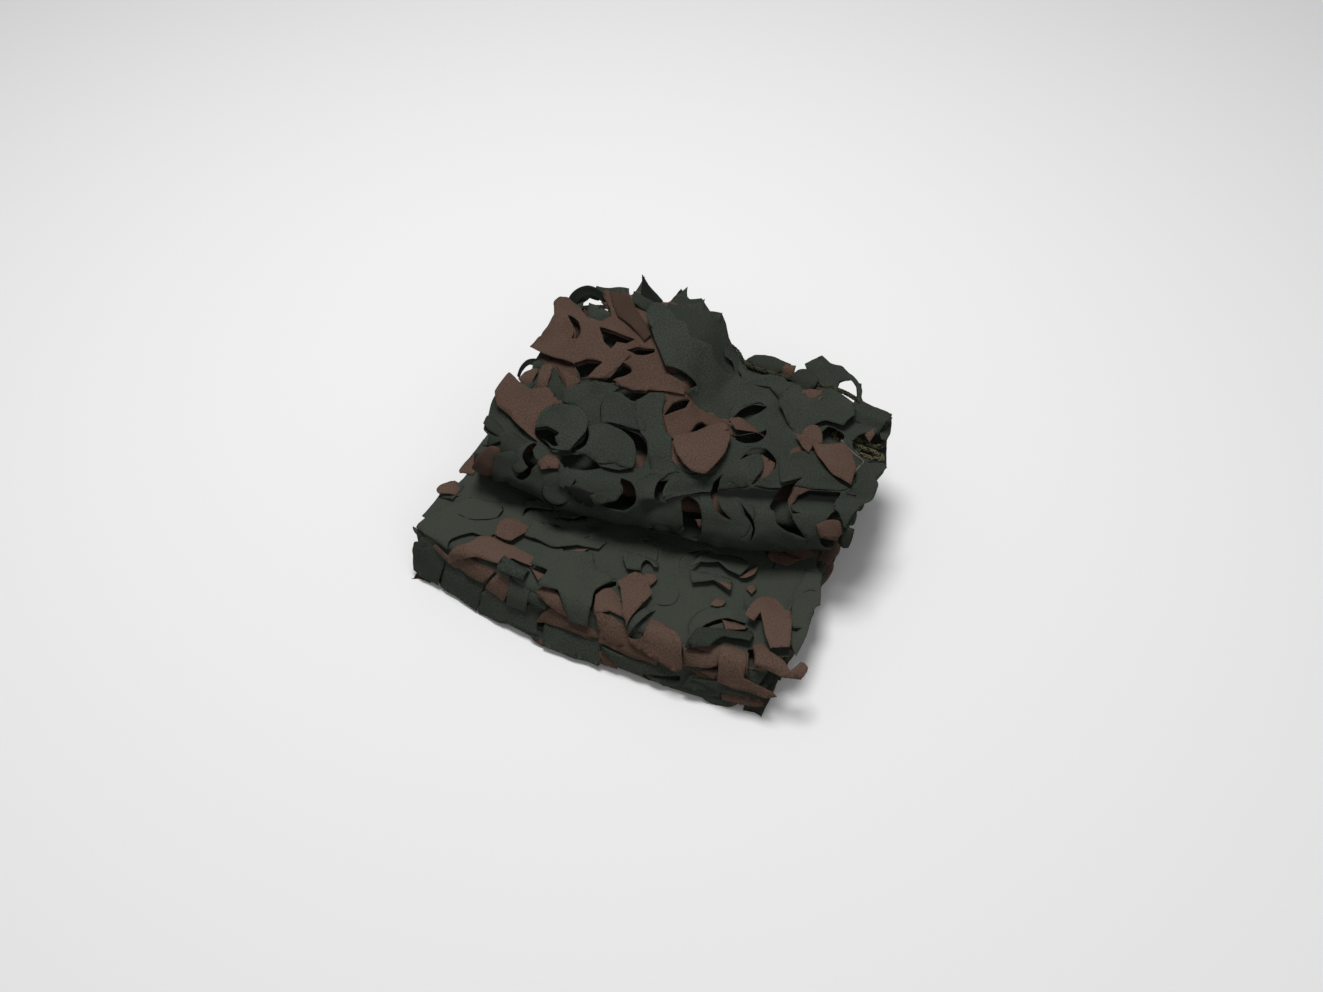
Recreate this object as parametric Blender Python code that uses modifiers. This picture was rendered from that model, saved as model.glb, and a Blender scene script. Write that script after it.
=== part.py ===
"""A leaf-cut camouflage net, folded up into a bundle and lying on a surface.

The net is one long strip of cloth. It is made here the way the real one is: the strip is laid out flat,
its leaf cuts and its ragged borders are cut through, and the flat strip is then folded back and forth.
Front is -Y, +X is to the right, +Z is up. The origin is at the bottom centre of the bundle.
"""

import math
import random

import bmesh
import bpy
import numpy as np

for leftover in list(bpy.data.objects):
    bpy.data.objects.remove(leftover)

MM = 0.001
WELD = 0.00001

# ------------------------------------------------------------------ driving sizes, in millimetres
STRIP_WIDTH = 400.0
CLOTH_THICKNESS = 1.4
ROW = 58.0
HIDDEN_ROW = 105.0
FOLD_STEPS = 4
ROLL_STEPS = 8
# Where the strip's lengthwise lines lie: closer together where the raised left half of the top falls off.
LINES = (-200.0, -160.0, -118.0, -76.0, -46.0, -27.0, -9.0, 14.0, 42.0, 80.0, 120.0, 160.0, 200.0)

# The levels at which the cloth lies. Each row holds where the level's left and right borders lie and how
# high the middle of the cloth is there, first at the level's front and then at its back, and how much of the
# raised left back it takes part in.
LEVEL_COLUMNS = (
    "front_left", "front_right", "back_left", "back_right",
    "front_left_z", "front_right_z", "back_left_z", "back_right_z", "hump",
)
LEVELS = {
    "low_0": (-190.0, 196.0, -198.0, 186.0, 0.7, 0.7, 0.7, 0.7, 0.0),
    "low_1": (-198.0, 192.0, -205.0, 182.0, 10.5, 9.5, 10.5, 10.0, 0.0),
    "low_2": (-189.0, 201.0, -196.0, 190.0, 20.5, 18.5, 20.0, 19.5, 0.0),
    "low_3": (-199.0, 194.0, -203.0, 184.0, 30.5, 27.5, 29.5, 28.5, 0.0),
    "low_4": (-190.0, 203.0, -198.0, 188.0, 40.5, 36.5, 38.5, 37.5, 0.0),
    "low_5": (-207.0, 206.0, -202.0, 182.0, 51.0, 46.0, 47.5, 47.0, 0.0),
    "high_8": (-186.0, 199.0, -188.0, 200.0, 86.0, 79.0, 92.0, 84.0, 0.75),
    "high_7": (-178.0, 204.0, -182.0, 202.0, 74.0, 68.0, 76.0, 70.0, 0.5),
    "high_6": (-184.0, 196.0, -188.0, 192.0, 62.0, 56.5, 60.0, 58.0, 0.3),
    "top": (-174.0, 199.0, -179.0, 199.0, 103.0, 97.0, 114.0, 101.0, 1.0),
}
LOW_FRONT, HIGH_FRONT, LEVEL_BACK = -165.0, -40.0, 165.0

# The folds between one level and the next. Each row holds how far forward or back the fold reaches at the
# left border, at the middle and at the right border, and how far it bulges past the levels that it joins.
FOLD_COLUMNS = ("left", "middle", "right", "bulge")
FOLDS = {
    "front_01": (-158.0, -184.0, -164.0, 7.0),
    "back_12": (160.0, 166.0, 162.0, 6.0),
    "front_23": (-152.0, -172.0, -163.0, 7.0),
    "back_34": (163.0, 160.0, 166.0, 6.0),
    "front_45": (-146.0, -161.0, -149.0, 8.0),
    "back_58": (168.0, 171.0, 164.0, 9.0),
    "inner_87": (-26.0, -30.0, 22.0, 8.0),
    "inner_76": (150.0, 152.0, 146.0, 7.0),
    "roll": (-62.0, -65.0, -8.0, 23.0),
}
# The strip's two raw ends, read as folds without a bulge.
ENDS = {
    "start": (158.0, 160.0, 156.0, 0.0),
    "end": (172.0, 180.0, 166.0, 0.0),
}
AT_THE_BACK = ("start", "back_12", "back_34", "back_58", "inner_76", "end")
# The order in which the strip runs through its levels and folds.
RUN = (
    "low_0", "front_01", "low_1", "back_12", "low_2", "front_23", "low_3", "back_34", "low_4", "front_45",
    "low_5", "back_58", "high_8", "inner_87", "high_7", "inner_76", "high_6", "roll", "top",
)

# How uneven the pile is: a ripple that all the levels share, one of each level's own, and folds that wander.
SHARED_RIPPLE = 2.2
OWN_RIPPLE = 0.8
FOLD_WANDER = 2.5
FULL_RIPPLE_HEIGHT = 45.0

# The form of the top: its swell, the trough behind the roll's crown, and the raised left half of the back.
SWELL_HEIGHT, SWELL_LENGTH = 5.0, 230.0
TROUGH_DEPTH, TROUGH_BEHIND_ROLL, TROUGH_HALF_WIDTH = 6.0, 46.0, 12.0
HUMP_HEIGHT = 36.0
HUMP_Y = (20.0, 175.0)
HUMP_X = (26.0, -24.0)
HUMP_LOSS, HUMP_LOSS_X = 0.55, (-100.0, -185.0)


def row_of(table, columns, name):
    """One row of a table, as a dict from column to value."""
    return dict(zip(columns, table[name]))


def smooth(value, low, high):
    """0 at low and 1 at high, with a smooth step between them; low may be above high."""
    t = np.clip((value - low) / (high - low), 0.0, 1.0)
    return t * t * (3.0 - 2.0 * t)


# ------------------------------------------------------------------ the folded form
# A place on the strip is given by across, from -half to half its width, and along, from its start.
def edge_y(name, across):
    """How far forward or back a fold or a raw end reaches: a curve through its three places, and its wander."""
    edges = {**FOLDS, **ENDS}
    row = row_of(edges, FOLD_COLUMNS, name)
    t = across / (STRIP_WIDTH / 2.0)
    bow = (row["left"] + row["right"]) / 2.0 - row["middle"]
    line = row["middle"] + (row["right"] - row["left"]) / 2.0 * t + bow * t * t
    return line + FOLD_WANDER * np.sin(across / 29.0 + 1.7 * list(edges).index(name))


def level_end(name, across):
    """Where a level ends and its fold begins."""
    bulge = row_of({**FOLDS, **ENDS}, FOLD_COLUMNS, name)["bulge"]
    return edge_y(name, across) - (bulge if name in AT_THE_BACK else -bulge)


def level_point(name, across, y):
    """Where a level's border-to-border position across lies in x, and how high the middle of the cloth is there."""
    row = row_of(LEVELS, LEVEL_COLUMNS, name)
    share = across / STRIP_WIDTH + 0.5
    front = LOW_FRONT if name.startswith("low") else HIGH_FRONT
    depth = np.clip((y - front) / (LEVEL_BACK - front), -0.2, 1.2)
    x_front = row["front_left"] + (row["front_right"] - row["front_left"]) * share
    x_back = row["back_left"] + (row["back_right"] - row["back_left"]) * share
    x = x_front + (x_back - x_front) * depth
    z_front = row["front_left_z"] + (row["front_right_z"] - row["front_left_z"]) * share
    z_back = row["back_left_z"] + (row["back_right_z"] - row["back_left_z"]) * share
    z = z_front + (z_back - z_front) * depth
    loose = np.clip((z - 1.0) / FULL_RIPPLE_HEIGHT, 0.0, 1.0)
    shared = np.sin(x / 33.0 + 0.6) * np.cos(y / 41.0) + 0.6 * np.sin((x - y) / 52.0)
    phase = 2.3 * list(LEVELS).index(name)
    own = np.sin(x / 27.0 + phase) * np.sin(y / 24.0 + 1.9 * phase)
    z = z + loose * (SHARED_RIPPLE * shared + OWN_RIPPLE * own)
    if name == "top":
        behind = y - edge_y("roll", across)
        z = z + SWELL_HEIGHT * np.sin(np.clip(behind / SWELL_LENGTH, 0.0, 1.0) * math.pi)
        z = z - TROUGH_DEPTH * np.exp(-(((behind - TROUGH_BEHIND_ROLL) / TROUGH_HALF_WIDTH) ** 2))
    hump = row["hump"] * HUMP_HEIGHT * smooth(y, *HUMP_Y) * smooth(x, *HUMP_X)
    return x, z + hump * (1.0 - HUMP_LOSS * smooth(x, *HUMP_LOSS_X))


def stretches():
    """The run as rows of its levels and folds: name, the names before and after, and the flat length."""
    found = []
    for i, name in enumerate(RUN):
        before = RUN[i - 1] if i else "start"
        after = RUN[i + 1] if i + 1 < len(RUN) else "end"
        if name in LEVELS:
            length = abs(level_end(after, 0.0) - level_end(before, 0.0))
        else:
            a = FOLDS[name][FOLD_COLUMNS.index("bulge")]
            y = level_end(name, 0.0)
            b = abs(level_point(after, 0.0, y)[1] - level_point(before, 0.0, y)[1]) / 2.0
            length = math.pi / 2.0 * (3.0 * (a + b) - math.sqrt((3.0 * a + b) * (a + 3.0 * b)))
        found.append({"name": name, "before": before, "after": after, "length": float(length)})
    return found


STRETCHES = stretches()
STRIP_LENGTH = sum(part["length"] for part in STRETCHES)


def flat_start(name):
    """How far along the strip a level or a fold begins."""
    names = [part["name"] for part in STRETCHES]
    return sum(part["length"] for part in STRETCHES[: names.index(name)])


def middle_surface(across, along):
    """Points of the middle of the folded cloth. Past the strip's ends it runs straight on."""
    points = np.zeros((len(across), 3))
    for part in STRETCHES:
        name, before, after = part["name"], part["before"], part["after"]
        start = flat_start(name)
        begins = along >= start if before != "start" else np.ones(len(along), bool)
        ends = along < start + part["length"] if after != "end" else np.ones(len(along), bool)
        inside = begins & ends
        u, t = across[inside], (along[inside] - start) / part["length"]
        if name in LEVELS:
            y_from, y_to = level_end(before, u), level_end(after, u)
            y = y_from + (y_to - y_from) * t
            x, z = level_point(name, u, y)
        else:
            root = level_end(name, u)
            bulge = edge_y(name, u) - root
            y = root + bulge * np.sin(t * math.pi)
            (x_from, z_from), (x_to, z_to) = level_point(before, u, root), level_point(after, u, root)
            share = (1.0 - np.cos(t * math.pi)) / 2.0
            x, z = x_from + (x_to - x_from) * share, z_from + (z_to - z_from) * share
        points[inside] = np.stack([x, y, z], axis=1)
    return points


SLOPE_STEP = 0.5


def folded(across, along, out):
    """Points of the folded cloth at a distance out from its middle, towards the side that the roll shows."""
    widthwise = middle_surface(across + SLOPE_STEP, along) - middle_surface(across - SLOPE_STEP, along)
    lengthwise = middle_surface(across, along + SLOPE_STEP) - middle_surface(across, along - SLOPE_STEP)
    normal = np.cross(widthwise, lengthwise)
    normal /= np.linalg.norm(normal, axis=1)[:, None]
    return middle_surface(across, along) + normal * out[:, None]


# ------------------------------------------------------------------ the leaf cuts
# A leaf is a half-round flap, left hanging on its chord when a crescent is cut round it. Each row holds the
# stretch it is cut in, the middle of its chord (across the strip, and along from where the stretch starts),
# its chord and depth, which way it points on the flat strip in degrees, how far its tip stands out of the
# cloth, and how wide the cut is at the tip.
LEAF_COLUMNS = ("stretch", "across", "along", "chord", "depth", "turn", "lift", "gap")
LEAVES = (
    ("top", -172, 166, 42, 16, -20, 6, 8),
    ("top", -118, 164, 40, 18, -78, 7, 9),
    ("top", -76, 157, 32, 13, -60, 5, 7),
    ("top", -142, 128, 36, 19, -78, 7, 9),
    ("top", -98, 115, 38, 12, 68, 5, 7),
    ("top", -124, 52, 44, 30, -20, 9, 10),
    ("top", -156, 80, 40, 18, 196, 7, 8),
    ("top", -76, 86, 30, 13, 180, 5, 7),
    ("top", -40, 54, 50, 20, 5, 8, 10),
    ("top", -28, 114, 34, 20, -62, 6, 8),
    ("top", 20, 103, 26, 13, 112, 4, 6),
    ("top", 26, 62, 54, 26, -100, 9, 10),
    ("top", 52, 144, 44, 18, 150, 7, 9),
    ("top", 64, 112, 40, 14, -52, 5, 7),
    ("top", 82, 66, 46, 27, 36, 9, 10),
    ("top", -20, 168, 28, 13, 120, 5, 7),
    ("top", 140, 132, 46, 22, 126, 8, 9),
    ("top", 166, 82, 54, 20, 188, 7, 9),
    ("top", 92, 172, 30, 13, -62, 5, 7),
    ("top", 74, 16, 48, 20, 160, 8, 10),
    ("top", 150, 26, 50, 18, 206, 8, 9),
    ("top", -3, 12, 28, 13, 150, 4, 7),
    ("top", 136, 203, 32, 8, 90, 4, 14),
    ("top", -158, 202, 30, 8, 90, 5, 13),
    ("roll", -146, 62, 26, 14, -62, 6, 8),
    ("roll", 36, 46, 42, 15, -30, 6, 9),
    ("roll", 107, 64, 44, 9, 10, 4, 7),
    ("roll", 160, 44, 30, 15, -60, 6, 8),
    ("roll", -50, 60, 38, 26, -10, 8, 10),
    ("roll", -92, 50, 34, 15, -100, 6, 8),
    ("roll", -160, 26, 30, 15, 160, 5, 8),
    ("roll", -8, 24, 34, 16, 220, 6, 8),
    ("roll", 74, 22, 32, 15, -70, 5, 8),
    ("low_5", -160, 56, 42, 23, -30, 4, 8),
    ("low_5", -98, 84, 36, 15, 112, 4, 7),
    ("low_5", -46, 80, 32, 14, -80, 3, 7),
    ("low_5", -98, 38, 34, 17, 206, 4, 7),
    ("low_5", -56, 34, 34, 16, 60, 4, 7),
    ("low_5", 4, 30, 44, 24, 200, 5, 9),
    ("low_5", 24, 76, 38, 18, 30, 4, 8),
    ("low_5", 84, 92, 46, 18, 146, 4, 8),
    ("low_5", 64, 42, 32, 15, -30, 4, 8),
    ("low_5", 124, 24, 52, 22, 150, 5, 9),
    ("low_5", 158, 80, 44, 30, -80, 4, 8),
    ("low_5", 136, 126, 30, 12, 60, 2, 7),
)
# The rows of leaves along the bundle's front, on the outside of its folds, and those inside the pile, where
# the leaves lie twice as far apart. Each row holds the stretch, how far along it the leaves' chords lie, where
# the first is across the strip, how far apart they are, how many there are, and their depth, turn and lift.
LEAF_ROW_COLUMNS = ("stretch", "along", "first", "apart", "count", "depth", "turn", "lift")
LEAF_ROWS = (
    ("front_01", 18, -152, 61, 6, 11, -86, 5),
    ("front_23", 18, -142, 71, 5, 13, -94, 5),
    ("front_45", 18, -144, 60, 6, 13, -90, 5),
    ("low_0", 90, -140, 140, 3, 20, 70, -2),
    ("low_0", 230, -90, 140, 2, 20, -110, -2),
    ("low_1", 70, -130, 130, 3, 20, 120, 2),
    ("low_1", 210, -80, 150, 2, 20, -60, 2),
    ("low_2", 110, -140, 140, 3, 20, 60, -2),
    ("low_2", 230, -90, 150, 2, 20, -110, -2),
    ("low_3", 80, -120, 130, 3, 20, 110, 2),
    ("low_3", 200, -80, 150, 2, 20, -70, 2),
    ("low_4", 70, -140, 140, 3, 20, 70, -2),
    ("low_4", 190, -90, 150, 2, 20, -120, -2),
    ("low_5", 220, -120, 130, 3, 20, 60, 2),
    ("back_58", 24, -140, 92, 4, 20, 86, -4),
    ("high_8", 90, -130, 130, 3, 20, -110, -2),
    ("high_7", 80, -120, 130, 3, 20, 70, 2),
    ("high_6", 90, -140, 140, 3, 20, 110, -2),
)
ROW_CHORDS = (32.0, 44.0)
ROW_GAP = 7.0
# How unevenly the leaves in rows lie, in millimetres either way, and how unevenly they turn, in degrees.
ROW_SHAKE_ACROSS, ROW_SHAKE_ALONG, ROW_SHAKE_TURN = 6.0, 3.0, 6.0
KNIFE_REACH = 5.0
# How many straight pieces the outside of a cut and its leaf have: those placed by hand, and those in rows.
FINE_STEPS = (6, 5)
ROW_STEPS = (4, 3)

# The scallops cut into the strip's two long borders.
SCALLOP_PITCH, SCALLOP_SHAKE = 84.0, 6.0
SCALLOP_WIDTH = (40.0, 66.0)
SCALLOP_DEPTH = (9.0, 18.0)
SCALLOP_STEPS = 3
# A deeper one lets the cord's turns show at the top's right border: along the top, width and depth.
CORD_NOTCH = ("top", 143.0, 60.0, 26.0)
BORDER_CLEAR = 8.0

# The leaf tips along the strip's raw end, at the back of the top: where they are across the strip, how far
# they reach past the end, how deep the cut behind each one goes, and how far its tip stands up.
TIP_COLUMNS = ("across", "reach", "valley", "stand")
TIPS = (
    (-200, 4, 4, 0),
    (-178, 18, 15, 8),
    (-138, 15, 4, 4),
    (-124, 27, 3, 14),
    (-108, 8, 2, 4),
    (-72, 24, 9, 12),
    (-48, 22, 6, 10),
    (-26, 20, -10, 6),
    (18, 4, -2, 0),
    (62, 8, 2, 2),
    (98, 34, 24, 8),
    (152, 30, 2, 6),
    (184, 8, 0, 0),
    (200, 6, 0, 0),
)
TIP_STEPS = 3
END_MARGIN = 44.0


def shake(chance, most):
    """A random amount, up to the most either way."""
    return chance.uniform(-most, most)


def leaf_rows():
    """The leaves of both tables as dicts, in places on the flat strip."""
    chance = random.Random(7)
    leaves = []
    for row in LEAVES:
        leaf = dict(zip(LEAF_COLUMNS, row))
        leaf["along"] += flat_start(leaf["stretch"])
        leaf["steps"] = FINE_STEPS
        leaves.append(leaf)
    for row in LEAF_ROWS:
        line = dict(zip(LEAF_ROW_COLUMNS, row))
        for i in range(line["count"]):
            leaves.append({
                "stretch": line["stretch"],
                "across": line["first"] + line["apart"] * i + shake(chance, ROW_SHAKE_ACROSS),
                "along": flat_start(line["stretch"]) + line["along"] + shake(chance, ROW_SHAKE_ALONG),
                "chord": chance.uniform(*ROW_CHORDS),
                "depth": line["depth"],
                "turn": line["turn"] + shake(chance, ROW_SHAKE_TURN),
                "lift": line["lift"],
                "gap": ROW_GAP,
                "steps": ROW_STEPS,
            })
    return leaves


def crescent(leaf):
    """Outline of the cut round a leaf, on the flat strip."""
    half, depth, turn = leaf["chord"] / 2.0, leaf["depth"], math.radians(leaf["turn"] - 90.0)
    cut_steps, leaf_steps = leaf["steps"]
    outer = [math.pi * i / cut_steps for i in range(cut_steps + 1)]
    inner = [math.pi * (1.0 - i / leaf_steps) for i in range(1, leaf_steps)]
    local = [(half * math.cos(t), (depth + leaf["gap"]) * math.sin(t)) for t in outer]
    local += [(half * math.cos(t), depth * math.sin(t)) for t in inner]
    return [
        (
            leaf["across"] + p * math.cos(turn) - q * math.sin(turn),
            leaf["along"] + p * math.sin(turn) + q * math.cos(turn),
        )
        for p, q in local
    ]


def scallop(side, along, width, depth):
    """Outline of a scallop in the border on one side, -1 left or 1 right."""
    turns = [math.pi * i / SCALLOP_STEPS for i in range(SCALLOP_STEPS + 1)]
    half_width = STRIP_WIDTH / 2.0
    curve = [(side * (half_width - depth * math.sin(t)), along - width / 2.0 * math.cos(t)) for t in turns]
    curve[0] = (side * (half_width + BORDER_CLEAR), curve[0][1])
    curve[-1] = (side * (half_width + BORDER_CLEAR), curve[-1][1])
    return curve


def scallops():
    """Outlines of all the scallops in the two long borders."""
    chance = random.Random(11)
    notch_stretch, notch_along, notch_width, notch_depth = CORD_NOTCH
    notch = flat_start(notch_stretch) + notch_along
    outlines = [scallop(1, notch, notch_width, notch_depth)]
    for side in (-1, 1):
        along = SCALLOP_PITCH / 2.0
        while along < STRIP_LENGTH - SCALLOP_PITCH / 2.0:
            width, depth = chance.uniform(*SCALLOP_WIDTH), chance.uniform(*SCALLOP_DEPTH)
            if side < 0 or abs(along - notch) > SCALLOP_PITCH:
                outlines.append(scallop(side, along, width, depth))
            along += SCALLOP_PITCH + shake(chance, SCALLOP_SHAKE)
    return outlines


def end_cut():
    """Outline of all that is cut away behind the leaf tips, along the strip's raw end."""
    tips = [dict(zip(TIP_COLUMNS, row)) for row in TIPS]
    outline = [(tips[0]["across"] - BORDER_CLEAR, STRIP_LENGTH + tips[0]["reach"])]
    for left, right in zip(tips, tips[1:]):
        outline.append((left["across"], STRIP_LENGTH + left["reach"]))
        for i in range(1, TIP_STEPS):
            t = i / TIP_STEPS
            straight = left["reach"] * (1.0 - t) + right["reach"] * t
            sag = 4.0 * t * (1.0 - t)
            outline.append((
                left["across"] + (right["across"] - left["across"]) * t,
                STRIP_LENGTH + straight + (left["valley"] - straight) * sag,
            ))
    outline.append((tips[-1]["across"] + BORDER_CLEAR, STRIP_LENGTH + tips[-1]["reach"]))
    outline.append((tips[-1]["across"] + BORDER_CLEAR, STRIP_LENGTH + END_MARGIN + BORDER_CLEAR))
    outline.append((tips[0]["across"] - BORDER_CLEAR, STRIP_LENGTH + END_MARGIN + BORDER_CLEAR))
    return outline


# ------------------------------------------------------------------ the edge cord and the string
# Each row holds the level that the cord lies on or under, where it is across the strip, how far behind the
# strip's raw end it is, and how high its middle is above the middle of the cloth.
ROUTE_COLUMNS = ("level", "across", "behind", "above")
CORD_WIDTH = 5.5
# The cord runs under the raised left half of the strip's raw end, comes up through the dip, runs on top of
# the right half, goes over the right border and lies in three short runs on the level below.
CORD_ROUTE = (
    ("top", -192, -8, -4.8),
    ("top", -150, -7, -5.4),
    ("top", -100, -6, -5.8),
    ("top", -60, -5, -6.0),
    ("top", -30, -2, -6.0),
    ("top", -20, 1, -6.0),
    ("top", -11, 3, -4.0),
    ("top", -4, 4, 0.0),
    ("top", 4, 3, 3.6),
    ("top", 15, -3, 5.0),
    ("top", 60, -6, 4.3),
    ("top", 100, -3, 4.3),
    ("top", 136, 3, 4.3),
    ("top", 168, -4, 4.3),
    ("top", 188, -8, 4.3),
    ("top", 201, -13, 4.0),
    ("top", 207.5, -21, -3.0),
    ("high_8", 206, -30, 6.0),
    ("high_8", 198, -36, 4.0),
    ("high_8", 186, -37, 4.0),
    ("high_8", 152, -37, 4.0),
    ("high_8", 146, -38.5, 4.0),
    ("high_8", 143, -42, 4.0),
    ("high_8", 146, -45.5, 4.0),
    ("high_8", 152, -47, 4.0),
    ("high_8", 186, -47, 4.0),
    ("high_8", 192, -48.5, 4.0),
    ("high_8", 195, -52, 4.0),
    ("high_8", 192, -55.5, 4.0),
    ("high_8", 186, -57, 4.0),
    ("high_8", 148, -57, 4.0),
)
STRING_WIDTH = 2.0
# A thin end of string lies bent on the top, beside the notch in its right border.
STRING_ROUTE = (
    ("top", 162, -82, 2.0),
    ("top", 172, -92, 2.0),
    ("top", 182, -100, 2.0),
    ("top", 190, -106, 2.0),
    ("top", 194, -110, 2.0),
    ("top", 194.5, -115, 2.0),
    ("top", 192.5, -124, 2.0),
    ("top", 191, -138, 2.0),
)
# How often a route is read on a straight run and in a bend, and the angle from which it counts as bent.
STRAIGHT_STEP, BEND_STEP = 12.0, 4.0
BEND_ANGLE = 0.35


# ------------------------------------------------------------------ bending and folding
# A point belongs to a leaf up to this much past the leaf's edge, so that the edge itself does.
LEAF_EDGE = 1.02


def lift_leaves(across, along, out, leaves):
    """Bend each leaf about its chord, as an arc of a circle, until its tip stands at its lift."""
    across, along, out = across.copy(), along.copy(), out.copy()
    for leaf in leaves:
        turn = math.radians(leaf["turn"])
        half, depth = leaf["chord"] / 2.0, leaf["depth"]
        dx, dy = across - leaf["across"], along - leaf["along"]
        q = dx * math.cos(turn) + dy * math.sin(turn)
        p = -dx * math.sin(turn) + dy * math.cos(turn)
        on_leaf = (q > 0.0) & ((p / half) ** 2 + (q / depth) ** 2 < LEAF_EDGE)
        curve = 2.0 * leaf["lift"] / depth ** 2
        bend = curve * q[on_leaf]
        drawn_in = np.sin(bend) / curve - q[on_leaf] - out[on_leaf] * np.sin(bend)
        across[on_leaf] += drawn_in * math.cos(turn)
        along[on_leaf] += drawn_in * math.sin(turn)
        out[on_leaf] = (1.0 - np.cos(bend)) / curve + out[on_leaf] * np.cos(bend)
    return across, along, out


def stand_tips(across, along, out):
    """Raise the leaf tips past the strip's raw end."""
    tips = [dict(zip(TIP_COLUMNS, row)) for row in TIPS]
    places = [tip["across"] for tip in tips]
    stand = np.interp(across, places, [tip["stand"] for tip in tips])
    past = np.clip((along - STRIP_LENGTH) / END_MARGIN, 0.0, 1.0)
    return out + stand * past * (2.0 - past)


# ------------------------------------------------------------------ making the solids
SHARP_ANGLE = math.radians(50.0)


def new_collection(name):
    collection = bpy.data.collections.new(name)
    bpy.context.scene.collection.children.link(collection)
    return collection


def new_material(name, colour, roughness):
    material = bpy.data.materials.new(name)
    material.use_nodes = True
    shader = material.node_tree.nodes["Principled BSDF"]
    shader.inputs["Base Color"].default_value = (*colour, 1.0)
    shader.inputs["Roughness"].default_value = roughness
    return material


def new_object(name, mesh, collection):
    found = bpy.data.objects.new(name, mesh)
    collection.objects.link(found)
    return found


def apply_modifiers(target):
    """Make the result of an object's modifiers its mesh."""
    graph = bpy.context.evaluated_depsgraph_get()
    mesh = bpy.data.meshes.new_from_object(target.evaluated_get(graph))
    target.modifiers.clear()
    target.data = mesh


def flat_rows():
    """Where the strip's cross lines lie: at every end of a level or a fold, and evenly between."""
    rows = [0.0]
    for part in STRETCHES:
        name = part["name"]
        if name in LEVELS:
            count = max(2, round(part["length"] / (ROW if name in ("top", "low_5") else HIDDEN_ROW)))
        else:
            count = ROLL_STEPS if name == "roll" else FOLD_STEPS
        rows += [flat_start(name) + part["length"] * (i + 1) / count for i in range(count)]
    return rows + [STRIP_LENGTH + END_MARGIN]


def flat_strip(collection):
    """The uncut strip, laid out flat."""
    rows = flat_rows()
    mesh = bmesh.new()
    bmesh.ops.create_grid(mesh, x_segments=len(LINES) - 1, y_segments=len(rows) - 1, size=1.0)
    for vertex in mesh.verts:
        line = round((vertex.co.x + 1.0) / 2.0 * (len(LINES) - 1))
        row = round((vertex.co.y + 1.0) / 2.0 * (len(rows) - 1))
        vertex.co = (LINES[line] * MM, rows[row] * MM, 0.0)
    data = bpy.data.meshes.new("net")
    mesh.to_mesh(data)
    mesh.free()
    strip = new_object("net", data, collection)
    solidify = strip.modifiers.new("thickness", "SOLIDIFY")
    solidify.thickness = CLOTH_THICKNESS * MM
    solidify.offset = 0.0
    apply_modifiers(strip)
    return strip


def closed_mesh(curve, collection):
    """The welded mesh of a curve's filled and bevelled form."""
    source = new_object(curve.name, curve, collection)
    graph = bpy.context.evaluated_depsgraph_get()
    data = bpy.data.meshes.new_from_object(source.evaluated_get(graph))
    bpy.data.objects.remove(source)
    mesh = bmesh.new()
    mesh.from_mesh(data)
    bmesh.ops.remove_doubles(mesh, verts=mesh.verts, dist=WELD)
    mesh.to_mesh(data)
    mesh.free()
    return data


def knife(outlines, collection):
    """One cutter with an upright wall along every outline."""
    curve = bpy.data.curves.new("knife_lines", "CURVE")
    curve.dimensions = "2D"
    curve.fill_mode = "BOTH"
    curve.extrude = KNIFE_REACH * MM
    for outline in outlines:
        spline = curve.splines.new("POLY")
        spline.points.add(len(outline) - 1)
        for point, (x, y) in zip(spline.points, outline):
            point.co = (x * MM, y * MM, 0.0, 1.0)
        spline.use_cyclic_u = True
    cutter = new_object("knife", closed_mesh(curve, collection), collection)
    cutter.hide_render = True
    cutter.display_type = "WIRE"
    return cutter


def route_points(route):
    """The places of a route's rows, in millimetres."""
    points = []
    for row in route:
        place = dict(zip(ROUTE_COLUMNS, row))
        across, above = np.array([float(place["across"])]), np.array([float(place["above"])])
        if place["level"] == "top":
            points.append(folded(across, np.array([STRIP_LENGTH + place["behind"]]), above)[0])
        else:
            y = edge_y("end", across) + place["behind"]
            x, z = level_point(place["level"], across, y)
            points.append((x[0], y[0], z[0] + above[0]))
    return np.array(points)


def smooth_route(points):
    """A smooth curve through the points, read every few millimetres and closer in its bends."""
    ends = np.vstack([2.0 * points[0] - points[1], points, 2.0 * points[-1] - points[-2]])
    curve = [points[0]]
    for before, start, end, after in zip(ends, ends[1:], ends[2:], ends[3:]):
        steps = (start - before, end - start, after - end)
        lengths = [np.linalg.norm(step) for step in steps]
        turns = [np.dot(a, b) / np.linalg.norm(a) / np.linalg.norm(b) for a, b in zip(steps, steps[1:])]
        bent = min(turns) < math.cos(BEND_ANGLE)
        count = math.ceil(lengths[1] / (BEND_STEP if bent and lengths[1] < STRAIGHT_STEP else STRAIGHT_STEP))
        slope_start = (steps[0] / lengths[0] + steps[1] / lengths[1]) / 2.0 * lengths[1]
        slope_end = (steps[1] / lengths[1] + steps[2] / lengths[2]) / 2.0 * lengths[1]
        for i in range(1, count + 1):
            t = i / count
            curve.append(
                (2.0 * t ** 3 - 3.0 * t ** 2 + 1.0) * start
                + (t ** 3 - 2.0 * t ** 2 + t) * slope_start
                + (3.0 * t ** 2 - 2.0 * t ** 3) * end
                + (t ** 3 - t ** 2) * slope_end
            )
    return curve


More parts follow.
